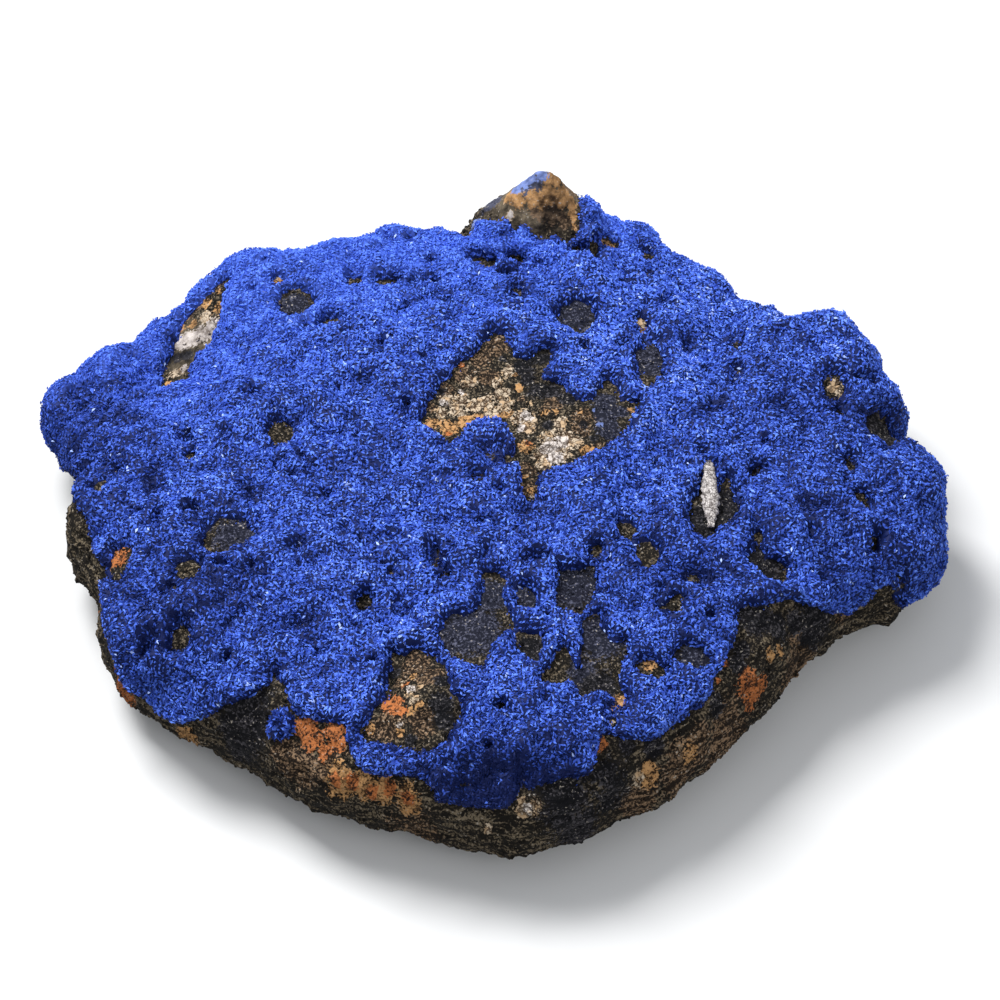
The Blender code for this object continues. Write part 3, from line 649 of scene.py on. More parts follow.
    def growth(self, points: Points) -> tuple[Values, Values]:
        """How far the crust's skin stands off the rock, under its crystals.

        Args:
            points: places on the rock.

        Returns:
            The distance at each point, and how much painted shade the skin has there, from 0 to
            most_shade.
        """
        x, y, _ = points.T
        share = self.shares(points)
        full = np.maximum(self.thinnest, self.thickness + self.lumps.at(points)) - self.grain
        for *middle, radius, rise in LOBES:
            full += rise * np.exp(-(np.linalg.norm(points - middle, axis=1) / radius) ** 2)
        full = np.maximum(full, self.least)
        # Painted shade laid on the given areas.
        area_shade = np.zeros(len(points))
        for *oval, share_here in PAINTED_SHADE_AREAS:
            area_shade = np.maximum(area_shade, share_here * inside_oval(x, y, oval))
        small = self.nodules.at(points) + self.crumbs.at(points)
        dip = np.zeros(len(points))
        for oval in HOLLOWS:
            dip = np.maximum(dip, inside_oval(x, y, oval))
        broken = smooth_step(self.breaks.at(points), *self.break_steps)
        crease = 1.0 - smooth_step(np.abs(self.folds.at(points)), 0.0, self.crease_width)
        groove = np.zeros(len(points))
        for line in GROOVES:
            away = outside_outline(x, y, line) / self.groove_width
            groove = np.maximum(groove, np.exp(-(away**2)))
        lowered = self.hollow_depth * dip + self.crease_depth * crease * broken
        lowered += self.groove_depth * groove * (self.unbroken + (1.0 - self.unbroken) * broken)
        grown = self.tuck + (full + small - lowered - self.tuck) * share
        # Painted shade: darker where the crust lies low, runs out or lies in a painted shade area,
        # lighter where it stands out.
        painted_shade = self.shade - self.shade_small * small + self.shade_low * lowered
        painted_shade += self.shade_thin * (1.0 - share) + area_shade
        # Painted light on the far side, taken off the painted shade.
        painted_shade -= self.far_painted_light * smooth_step(y, *self.far_side)
        return grown, np.clip(painted_shade, 0.0, self.most_shade)


def new_object(name: str, data: bpy.types.ID) -> Object:
    """A new object in the scene.

    Args:
        name: its name.
        data: its mesh, light or camera.

    Returns:
        The object.
    """
    obj = bpy.data.objects.new(name, data)
    bpy.context.scene.collection.objects.link(obj)
    return obj


def object_from(name: str, form: bmesh.types.BMesh) -> Object:
    """A new object from a bmesh.

    Args:
        name: its name.
        form: the bmesh, which is freed.

    Returns:
        The object.
    """
    mesh = bpy.data.meshes.new(name)
    form.to_mesh(mesh)
    form.free()
    return new_object(name, mesh)


def bake_modifiers(obj: Object) -> None:
    """Replaces an object's mesh with the one that its modifiers make.

    Args:
        obj: the object, which has none of them afterwards.
    """
    bpy.context.view_layer.update()
    graph = bpy.context.evaluated_depsgraph_get()
    mesh = bpy.data.meshes.new_from_object(obj.evaluated_get(graph))
    obj.modifiers.clear()
    obj.data = mesh


def merged_copy(node: str, name: str) -> Object:
    """A copy of a solid of the frame, with its loose triangles joined.

    Args:
        node: the solid's name.
        name: the copy's name.

    Returns:
        The copy.
    """
    form = bmesh.new()
    form.from_mesh(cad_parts[node].data)
    bmesh.ops.remove_doubles(form, verts=form.verts, dist=MERGE_DISTANCE * MM)
    return object_from(name, form)


def read(items: bpy.types.bpy_prop_collection, name: str, kind: type = np.float32) -> np.ndarray:
    """One property of each item of a mesh.

    Args:
        items: its vertices, faces, corners, directions or marks.
        name: the property's name.
        kind: the kind of number.

    Returns:
        The numbers, one item a row where each has three.
    """
    width = 3 if name in ("co", "vector") else 1
    found = np.empty(width * len(items), kind)
    items.foreach_get(name, found)
    return found.reshape(-1, 3) if width == 3 else found


def places_of(mesh: Mesh) -> Points:
    """The vertices' places."""
    return read(mesh.vertices, "co").astype(float) / MM


def move_to(mesh: Mesh, places: Points) -> None:
    """Puts the vertices in new places, kept inside the frame's box.

    Args:
        mesh: the mesh that is moved.
        places: the new places, one a row.
    """
    low, high = (np.array(corner) for corner in CAD_BOX)
    inside = np.clip(places * MM, low, high)
    mesh.vertices.foreach_set("co", inside.astype(np.float32).ravel())
    mesh.update()


def vertex_normals(mesh: Mesh) -> Points:
    """The vertices' normals."""
    return read(mesh.vertex_normals, "vector").astype(float)


def face_corners(mesh: Mesh) -> np.ndarray:
    """Vertex numbers of a mesh of four-sided faces, one face a row."""
    return read(mesh.loops, "vertex_index", np.int32).reshape(-1, 4)


def face_normals(mesh: Mesh) -> Points:
    """The faces' normals."""
    return read(mesh.polygon_normals, "vector").astype(float)


def marks_of(mesh: Mesh, name: str) -> Values:
    """The numbers that a mesh holds at its vertices under a name."""
    return read(mesh.attributes[name].data, "value")


def paint(mesh: Mesh, name: str, values: Values) -> None:
    """Gives a mesh a number at each vertex for its material to read."""
    layer = mesh.attributes.new(name, "FLOAT", "POINT")
    layer.data.foreach_set("value", values.astype(np.float32))


def keep_largest_body(obj: Object) -> None:
    """Deletes all but the largest connected body of a mesh.

    Args:
        obj: the mesh's object.
    """
    form = bmesh.new()
    form.from_mesh(obj.data)
    left = set(form.verts)
    bodies = []
    while left:
        seed = left.pop()
        body, front = {seed}, [seed]
        while front:
            for edge in front.pop().link_edges:
                for vertex in edge.verts:
                    if vertex in left:
                        left.discard(vertex)
                        body.add(vertex)
                        front.append(vertex)
        bodies.append(body)
    bodies.sort(key=len, reverse=True)
    for body in bodies[1:]:
        bmesh.ops.delete(form, geom=list(body), context="VERTS")
    form.to_mesh(obj.data)
    form.free()


def cut_away(obj: Object, cutter: Object) -> None:
    """Takes a cutter's form out of an object and keeps the largest body.

    Args:
        obj: the object.
        cutter: the form that is taken out.
    """
    cut = obj.modifiers.new("cut", "BOOLEAN")
    cut.operation = "DIFFERENCE"
    cut.solver = "MANIFOLD"
    cut.object = cutter
    bake_modifiers(obj)
    keep_largest_body(obj)


def hand_over(obj: Object, slot: str, *nodes: str) -> None:
    """Fixes a finished piece to the body.

    Args:
        obj: the piece.
        slot: the name of the material that it is dressed in; not used.
        nodes: the solids that it stands for.
    """
    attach(obj, BODY)
    if nodes:
        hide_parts(*nodes)
    obj.data.calc_loop_triangles()
    LOG.info("%s: %d triangles", obj.name, len(obj.data.loop_triangles))


# How many times wider than a bend in its edge a grain is.
BEND = 0.7


class Paint:
    """The nodes of one material, added and joined by short calls."""

    def __init__(self, name: str) -> None:
        """Starts a material with a Principled shader and Object coordinates.

        Args:
            name: the material's name.
        """
        self.material = bpy.data.materials.new(name)
        self.material.use_nodes = True
        self.tree = self.material.node_tree
        self.shader = self.tree.nodes["Principled BSDF"]
        self.place = self.tree.nodes.new("ShaderNodeTexCoord").outputs["Object"]

    def add(self, kind: str, settings: dict, inputs: dict) -> bpy.types.Node:
        """Adds a node.

        Args:
            kind: the node's type, without its prefix.
            settings: its properties.
            inputs: its sockets by name or number, each a value or another node's socket.

        Returns:
            The node.
        """
        node = self.tree.nodes.new("ShaderNode" + kind)
        for name, value in settings.items():
            setattr(node, name, value)
        for name, value in inputs.items():
            if isinstance(value, Socket):
                self.tree.links.new(value, node.inputs[name])
            else:
                node.inputs[name].default_value = value
        return node

    def noise(self, size: float, detail: float, stretch: Colour = (1, 1, 1)) -> Socket:
        """Fractal noise.

        Args:
            size: how wide its forms are, in millimetres.
            detail: how many finer layers it has.
            stretch: how much longer the forms are along each axis.

        Returns:
            A value that is 0.5 in the mean.
        """
        scale = tuple(1.0 / (size * MM * s) for s in stretch)
        mapping = self.add("Mapping", {}, {"Vector": self.place, "Scale": scale})
        inputs = {"Vector": mapping.outputs["Vector"], "Scale": 1.0, "Detail": detail}
        return self.add("TexNoise", {}, inputs).outputs["Fac"]

    def cells(self, size: float) -> tuple[Socket, Socket]:
        """Rounded grains side by side, bent a little out of true.

        Args:
            size: how wide they are, in millimetres.

        Returns:
            A value that each grain has for its own, and the distance from its edge.
        """
        bend = self.add("TexNoise", {}, {"Vector": self.place, "Scale": BEND / (size * MM)})
        moved = self.add(
            "VectorMath",
            {"operation": "MULTIPLY_ADD"},
            {0: bend.outputs["Color"], 1: (size * MM,) * 3, 2: self.place},
        )
        inputs = {"Vector": moved.outputs[0], "Scale": 1.0 / (size * MM)}
        grains = self.add("TexVoronoi", {}, inputs)
        edges = self.add("TexVoronoi", {"feature": "DISTANCE_TO_EDGE"}, inputs)
        apart = self.add("SeparateColor", {}, {"Color": grains.outputs["Color"]})
        return apart.outputs[0], edges.outputs["Distance"]

    def attribute(self, name: str) -> Socket:
        """A number that the mesh holds at each vertex."""
        return self.add("Attribute", {"attribute_name": name}, {}).outputs["Fac"]

    def sum(self, *terms: tuple[Socket, float]) -> Socket:
        """Sum of values.

        Args:
            terms: each value with its factor.

        Returns:
            The sum.
        """
        total = 0.0
        for socket, factor in terms:
            node = self.add("Math", {"operation": "MULTIPLY_ADD"}, {0: socket, 1: factor, 2: total})
            total = node.outputs[0]
        return total

    def step(self, value: Socket, low: float, high: float) -> Socket:
        """0 below low, 1 above high, and an even ramp between them."""
        inputs = {"Value": value, "From Min": low, "From Max": high}
        return self.add("MapRange", {"interpolation_type": "SMOOTHSTEP"}, inputs).outputs["Result"]

    def ramp(self, value: Socket, stops: Stops) -> Socket:
        """Colours along a value.

        Args:
            value: the value.
            stops: values with the colour at each.

        Returns:
            The colour.
        """
        node = self.add("ValToRGB", {}, {"Fac": value})
        elements = node.color_ramp.elements
        for element in list(elements)[1:]:
            elements.remove(element)
        elements[0].position = stops[0][0]
        elements[0].color = (*stops[0][1], 1.0)
        for position, colour in stops[1:]:
            elements.new(position).color = (*colour, 1.0)
        return node.outputs["Color"]

    def mix(self, share: Socket, first: Socket | Colour, second: Socket | Colour) -> Socket:
        """Two colours mixed by a share from 0 to 1."""
        ends = [end if isinstance(end, Socket) else (*end, 1.0) for end in (first, second)]
        return self.add("Mix", {"data_type": "RGBA"}, {0: share, 6: ends[0], 7: ends[1]}).outputs[2]

    def blend(self, share: Socket, first: Socket | float, second: Socket | float) -> Socket:
        """Two values mixed by a share from 0 to 1."""
        return self.add("Mix", {}, {0: share, 2: first, 3: second}).outputs[0]

    def bump(self, *layers: tuple[Socket, float]) -> None:
        """Fine relief on the shader.

        Args:
            layers: heights with the depth of each in millimetres, laid one on another.
        """
        normal = None
        for height, depth in layers:
            inputs = {"Height": height, "Distance": depth * MM, "Strength": 1.0}
            if normal is not None:
                inputs["Normal"] = normal
            normal = self.add("Bump", {}, inputs).outputs["Normal"]
        self.tree.links.new(normal, self.shader.inputs["Normal"])

    def set(self, **sockets: object) -> None:
        """Gives the shader's sockets a value each.

        Args:
            sockets: numbers, colours or other nodes' sockets by name, with _ for a space.
        """
        for name, value in sockets.items():
            socket = self.shader.inputs[name.replace("_", " ")]
            if isinstance(value, Socket):
                self.tree.links.new(value, socket)
            else:
                socket.default_value = value


@dataclass(frozen=True)
class AzuriteFinish:
    """Deep blue crystal: darker where painted shade lies on it, brighter or darker from grain to
    grain, with a few painted glints.
    """

    deep: Colour = (0.005, 0.012, 0.075)
    middle: Colour = (0.046, 0.106, 0.56)
    light: Colour = (0.132, 0.27, 0.96)
    # Pale blue of a painted glint, at the top of the ramp.
    painted_glint: Colour = (0.42, 0.55, 0.95)
    roughness: float = 0.65
    gloss: float = 0.15

    def material(self) -> Material:
        """Makes the material.

        Returns:
            The material of the crust and its crystals.
        """
        coat = Paint("azurite")
        # Tone: the crystal's own, its random patches, and painted shade taken off.
        tone = coat.sum(
            (coat.attribute("tone"), 1.0),
            (coat.noise(5.0, 4.0), 0.30),
            (coat.noise(0.35, 2.0), 0.40),
            (coat.attribute("painted_shade"), -0.60),
        )
        stops = ((0.10, self.deep), (0.45, self.middle), (0.86, self.light), (1.0, self.painted_glint))
        colour = coat.ramp(tone, stops)
        coat.set(Base_Color=colour, Roughness=self.roughness, Specular_IOR_Level=self.gloss)
        return coat.material


@dataclass(frozen=True)
class HostRockFinish:
    """Dark broken rock with cream, tan, rust and slate patches.

    Each tint is a pair of colours: that of the dark grains and that of the light ones. Each
    pair of edges holds the values between which the thing that it is named for fades in.
    """

    plain: tuple[Colour, Colour] = ((0.009, 0.0075, 0.006), (0.19, 0.15, 0.10))
    slate: tuple[Colour, Colour] = ((0.010, 0.011, 0.020), (0.098, 0.102, 0.150))
    brown: tuple[Colour, Colour] = ((0.015, 0.010, 0.007), (0.27, 0.175, 0.105))
    tan: tuple[Colour, Colour] = ((0.034, 0.018, 0.009), (0.50, 0.275, 0.115))
    rust: tuple[Colour, Colour] = ((0.022, 0.012, 0.009), (0.46, 0.155, 0.050))
    cream: tuple[Colour, Colour] = ((0.060, 0.035, 0.020), (0.62, 0.505, 0.37))
    pale: tuple[Colour, Colour] = ((0.11, 0.085, 0.070), (0.62, 0.56, 0.52))
    # Dark rock, which also stands for painted shade in hollows and pits.
    dark: tuple[Colour, Colour] = ((0.0045, 0.0045, 0.006), (0.072, 0.067, 0.074))
    # Bluish film and painted sheen.
    film_and_sheen: tuple[Colour, Colour] = ((0.040, 0.055, 0.13), (0.20, 0.27, 0.58))
    cream_tan: Colour = (0.50, 0.35, 0.21)
    # Tiny light specks: light grains of the rock, partly painted glints.
    speck_and_glint: Colour = (0.36, 0.32, 0.27)
    dust: Colour = (0.04, 0.085, 0.42)
    soft_edges: Pair = (0.36, 0.64)
    few_light_edges: Pair = (1.56, 1.94)
    some_light_edges: Pair = (1.54, 1.88)
    most_light_edges: Pair = (1.22, 1.64)
    nodule_edges: Pair = (1.04, 1.54)
    seam_edges: Pair = (0.0, 0.16)
    cream_tan_edges: Pair = (0.55, 0.80)
    patch_edges: Pair = (1.36, 1.50)
    speck_and_glint_edges: Pair = (0.97, 1.05)
    dust_edges: Pair = (1.68, 1.78)
    roughness: float = 0.85
    gloss: float = 0.12

    def material(self) -> Material:
        """Makes the material.

        Returns:
            The material of the rock and its grit.
        """
        coat = Paint("host_rock")
        broad = coat.noise(3.0, 3.0)
        fine = coat.noise(0.8, 3.0)
        grain = coat.noise(0.24, 2.0)
        streaks = coat.noise(0.35, 3.0, (7.0, 7.0, 1.0))
        large, seam = coat.cells(0.5)
        small, _ = coat.cells(0.16)
        tone = coat.attribute("tone")
        calm = coat.attribute("calm")
        streaks = coat.blend(coat.attribute("wall"), 0.5, streaks)
        soft = coat.step(coat.sum((broad, 0.5), (fine, 0.5)), *self.soft_edges)
        salt = coat.sum((small, 0.40), (grain, 0.9), (streaks, 1.5), (tone, 0.30))
        few_light = coat.blend(calm, coat.step(salt, *self.few_light_edges), soft)
        some_light = coat.blend(calm, coat.step(salt, *self.some_light_edges), soft)
        mineral = coat.sum((large, 0.35), (grain, 0.9), (fine, 0.5), (tone, 0.3))
        drawn_out = coat.sum((mineral, 1.0), (streaks, 0.5), (small, 0.35))
        drawn_out = coat.step(drawn_out, *self.most_light_edges)
        most_light = coat.blend(calm, drawn_out, soft)
        inside = coat.step(seam, *self.seam_edges)
        nodules = coat.sum((mineral, 1.0), (inside, 0.32))
        nodules = coat.blend(calm, coat.step(nodules, *self.nodule_edges), soft)
        tan_ones = coat.step(large, *self.cream_tan_edges)
        cream = coat.mix(tan_ones, self.cream[1], self.cream_tan)
        colour = coat.mix(few_light, *self.plain)
        edges = coat.sum((grain, 1.2), (fine, 0.9), (broad, 0.6))
        for tint, pair, light in (
            (Tint.SLATE, self.slate, few_light),
            (Tint.BROWN, self.brown, some_light),
            (Tint.TAN, self.tan, most_light),
            (Tint.RUST, self.rust, most_light),
            (Tint.CREAM, (self.cream[0], cream), nodules),
            (Tint.PALE, self.pale, nodules),
            (Tint.DARK, self.dark, few_light),
            (Tint.FILM_AND_SHEEN, self.film_and_sheen, soft),
        ):
            share = coat.sum((coat.attribute(tint.value), 0.8), (edges, 1.0))
            here = coat.mix(light, *pair)
            colour = coat.mix(coat.step(share, *self.patch_edges), colour, here)
        # Tiny light specks, partly painted glints.
        specks = coat.sum((grain, 1.0), (fine, 0.35), (streaks, 0.25))
        specks = coat.step(specks, *self.speck_and_glint_edges)
        colour = coat.mix(specks, colour, self.speck_and_glint)
        dust = coat.sum((coat.attribute("dust"), 0.8), (grain, 1.2), (fine, 0.5))
        colour = coat.mix(coat.step(dust, *self.dust_edges), colour, self.dust)
        coat.set(Base_Color=colour, Roughness=self.roughness, Specular_IOR_Level=self.gloss)
        coat.bump((fine, 0.18), (grain, 0.10))
        return coat.material


@dataclass(frozen=True)
class PaleCrystalFinish:
    """Cloudy, cream-white crystal with darker grains in its creases."""

    light: Colour = (0.54, 0.50, 0.48)
    shade: Colour = (0.09, 0.075, 0.07)
    seam_edges: Pair = (0.0, 0.18)
    clear_edges: Pair = (0.62, 0.96)
    roughness: float = 0.5

    def material(self) -> Material:
        """Makes the material.

        Returns:
            The material of the pale crystal.
        """
        coat = Paint("pale_crystal")
        cloud = coat.noise(0.4, 4.0)
        _, seam = coat.cells(0.3)
        clear = coat.sum((coat.step(seam, *self.seam_edges), 0.32), (cloud, 1.2))
        clear = coat.step(clear, *self.clear_edges)
        colour = coat.mix(clear, self.shade, self.light)
        coat.set(Base_Color=colour, Roughness=self.roughness)
        coat.bump((coat.noise(0.2, 3.0), 0.05))
        return coat.material


@dataclass(frozen=True)
class GroundForm:
    """The rock's own form in small even faces, without its fine relief.

    Attributes:
        face_size: how wide the faces are.
        rounds: how often the flats of the solid are smoothed.
        softness: how far each round moves a vertex towards its neighbours.
    """

    face_size: float
    rounds: int = 14
    softness: float = 0.5

    def build(self) -> Object:
        """Makes the form.

        Returns:
            An object that is only worked from.
        """
        form = merged_copy("matrix_rock", "ground_form")
        even = form.modifiers.new("even faces", "REMESH")
        even.mode = "VOXEL"
        even.voxel_size = self.face_size * MM
        soft = form.modifiers.new("smooth flats", "SMOOTH")
        soft.factor = self.softness
        soft.iterations = self.rounds
        bake_modifiers(form)
        LOG.info("ground form: %d faces", len(form.data.polygons))
        return form


@dataclass(frozen=True)
class HostRock:
    """The slab of host rock, with its lumps, ledges and striations.

    Attributes:
        knobs: middle-sized relief.
        grains: fine relief.
        striations: relief drawn out along the broken walls.
        climb: how steeply the striations climb along the walls.
        foot: height over which the relief fades out above the underside.
        smooth: places where the rock is smooth and plain, (x, y, height, radius, share).
        smooth_edges: the shares of its radius between which such a place fades out.
        smoothing: how much of the relief is gone where it is quite smooth.
        steep: the uprightness of normals between which a broken wall passes into a flat.
        girth: how many millimetres of wall there are in a turn of one radian.
        drawn_out: how many times longer than high the striations are.
        deep: how many times deeper than high they are.
        crusted: the growths of crust between which the relief fades out under it.
        dusted: those between which blue dust begins and is full.
        tone: how light its grains are.
    """

    knobs: Relief = Relief(1.7, 0.30, 41.0)
    grains: Relief = Relief(0.75, 0.20, 43.0)
    striations: Relief = Relief(0.55, 0.24, 47.0)
    climb: float = 0.35
    foot: float = 0.8
    smooth: tuple = ((3.0, 32.0, 19.5, 5.5, 1.0), (-28.8, 17.5, 11.0, 3.2, 0.8))
    smooth_edges: Pair = (0.7, 1.3)
    smoothing: float = 0.65
    steep: Pair = (0.5, 0.85)
    girth: float = 36.0
    drawn_out: float = 6.0
    deep: float = 2.0
    crusted: Pair = (0.1, 0.7)
    dusted: Pair = (-0.9, 0.1)
    tone: float = 0.6

    def calm(self, points: Points) -> Values:
        """How smooth and plain the rock is.

        Args:
            points: places on the rock.

        Returns:
            A share from 0 to 1 for each point.
        """
        found = np.zeros(len(points))
        for *middle, radius, share in self.smooth:
            away = np.linalg.norm(points - middle, axis=1) / radius
            found = np.maximum(found, share * (1.0 - smooth_step(away, *self.smooth_edges)))
        return found

    def wall(self, normals: Points) -> Values:
        """How much each place is part of a broken wall, from 0 to 1."""
        return 1.0 - smooth_step(np.abs(normals[:, 2]), *self.steep)

    def relief(self, points: Points, normals: Points) -> Values:
        """Height of the fine relief at each point of the rock.

        Args:
            points: places on the rock.
            normals: the directions that they face.

        Returns:
            One height for each point.
        """
        x, y, z = points.T
        around = np.arctan2(y, x) * self.girth
        inwards = np.hypot(x, y) / self.deep
        along = np.stack((around / self.drawn_out, z - self.climb * around, inwards), 1)
        height = self.knobs.at(points) + self.grains.at(points)
        height += self.wall(normals) * self.striations.at(along)
        height *= 1.0 - self.smoothing * self.calm(points)
        return height * smooth_step(z, 0.0, self.foot)

    @staticmethod
    def tint(points: Points, patches: tuple) -> Values:
        """How strong a tint is on the rock.

        Args:
            points: places on the rock.
            patches: where the tint lies, (x, y, height, radius).

        Returns:
            1 in the middle of a patch, 0 at its edge and -1 far outside, for each point.
        """
        near = np.full(len(points), np.inf)
        for *middle, radius in patches:
            away = (points - middle) * PATCH_SQUASH
            near = np.minimum(near, np.linalg.norm(away, axis=1) / radius)
        return np.clip(1.0 - near, -1.0, 1.0)

    def build(self, ground: Object, growth: Values) -> Object:
        """The finished rock.

        Args:
            ground: the rock's form in small even faces.
            growth: how far the crust stands off it at each vertex.

        Returns:
            The piece.
        """
        rock = new_object("host_rock", ground.data.copy())
        points, normals = places_of(rock.data), vertex_normals(rock.data)
        bare = 1.0 - smooth_step(growth, *self.crusted)
        moved = points + normals * (bare * self.relief(points, normals))[:, None]
        move_to(rock.data, moved)
        rock.data.shade_smooth()
        for tint, patches in PATCHES.items():
            paint(rock.data, tint.value, self.tint(points, patches))
        paint(rock.data, "dust", smooth_step(growth, *self.dusted))
        paint(rock.data, "tone", np.full(len(points), self.tone))
        paint(rock.data, "calm", self.calm(points))
        paint(rock.data, "wall", self.wall(normals))
        return rock


@dataclass(frozen=True)
class Crust:
    """The blue crust as a skin with rounded lips, pits and hollows.

    Attributes:
        sink: how far the rock that is cut from it stays under the rock's surface.
        shade: the painted shade on the skin, which shows between the crystals, in its most open
            places.
        shade_range: how much more painted shade it has where the crust's field paints shade.
        tone: how light it is.
        far_tone: how much lighter it is on the far left, where crystals are alike.
    """

    sink: float = 0.4
    shade: float = 0.45
    shade_range: float = 0.55
    tone: float = -0.05
    far_tone: float = 0.28

    @staticmethod
    def surface(ground: Object, growth: Values) -> Object:
        """The rock's form swollen by the crust's growth.

        Args:
            ground: the rock's form in small even faces.
            growth: how far the crust stands off it at each vertex.

        Returns:
            An object that is only worked from.
        """
        skin = new_object("azurite_crust_skin", ground.data.copy())
        points, normals = places_of(skin.data), vertex_normals(skin.data)
        move_to(skin.data, points + normals * growth[:, None])
        return skin

    def build(self, skin: Object, painted_shade: Values) -> Object:
        """The skin without the rock that it stands on.

        Args:
            skin: the swollen form.
            painted_shade: how much painted shade it has at each vertex.

        Returns:
            The piece.
        """
        crust = new_object("azurite_skin", skin.data.copy())
        # Painted shade on the skin, which shows as dark gaps between the crystals.
        paint(crust.data, "painted_shade", self.shade + self.shade_range * painted_shade)
        tone = self.tone + self.far_tone * far_left(places_of(crust.data))
        paint(crust.data, "tone", tone)
        rock = merged_copy("matrix_rock", "rock_cutter")
        points, normals = places_of(rock.data), vertex_normals(rock.data)
        move_to(rock.data, points - normals * self.sink)
        cut_away(crust, rock)
        bpy.data.objects.remove(rock)
        crust.data.shade_smooth()
        return crust


class GrainShape(Enum):
    """The shapes that a grain may have."""

    CRYSTAL = "a spear with three faces at each end"
    GRIT = "a rounded crumb"


def shape_of(kind: GrainShape) -> tuple[Points, np.ndarray]:
    """One grain of unit size.

    Args:
        kind: which shape it has.

    Returns:
        Its vertices, and its triangles as vertex numbers.
    """
    form = bmesh.new()
    if kind is GrainShape.CRYSTAL:
        bmesh.ops.create_uvsphere(form, u_segments=3, v_segments=2, radius=1.0)
    else:
        bmesh.ops.create_icosphere(form, subdivisions=1, radius=1.0)
    bmesh.ops.triangulate(form, faces=form.faces)
    form.verts.index_update()
    vertices = np.array([vertex.co[:] for vertex in form.verts])
    triangles = np.array([[vertex.index for vertex in face.verts] for face in form.faces])
    form.free()
    return vertices, triangles


@dataclass(frozen=True)
class Grains:
    """Many small copies of one shape, joined in one mesh.

    Attributes:
        places: where each grain's middle is.
        axes: the direction in which each one stands.
        sizes: half width, half depth and half length of each.
        marks: numbers by name, one for each grain, for the material to read.
    """

    places: Points
    axes: Points
    sizes: Points
    marks: dict[str, Values]

    def chosen(self, which: np.ndarray) -> "Grains":
        """Only some of the grains."""
        marks = {name: values[which] for name, values in self.marks.items()}
        return Grains(self.places[which], self.axes[which], self.sizes[which], marks)

    def build(self, name: str, kind: GrainShape, draw: Draw) -> Object:
        """The joined mesh.

        Args:
            name: the piece's name.
            kind: the shape that each grain has.
            draw: where its random turns come from.

        Returns:
            The piece.
        """
        vertices, triangles = shape_of(kind)
        count = len(self.places)
        across = unit(np.cross(self.axes, directions(draw, count)))
        turned = np.stack((across, np.cross(self.axes, across), self.axes), 1)
        turned *= self.sizes[:, :, None]
        places = self.places[:, None, :] + np.einsum("vk,gkx->gvx", vertices, turned)
        places = places.reshape(-1, 3)
        corners = triangles[None, :, :] + len(vertices) * np.arange(count)[:, None, None]
        mesh = bpy.data.meshes.new(name)
        mesh.vertices.add(len(places))
        mesh.loops.add(corners.size)
        mesh.polygons.add(corners.size // 3)
        mesh.loops.foreach_set("vertex_index", corners.ravel().astype(np.int32))
        mesh.polygons.foreach_set("loop_start", np.arange(0, corners.size, 3, dtype=np.int32))
        mesh.update(calc_edges=True)
        move_to(mesh, places)
        mesh.shade_flat()
        for mark, values in self.marks.items():
            paint(mesh, mark, np.repeat(values, len(vertices)))
        return new_object(name, mesh)


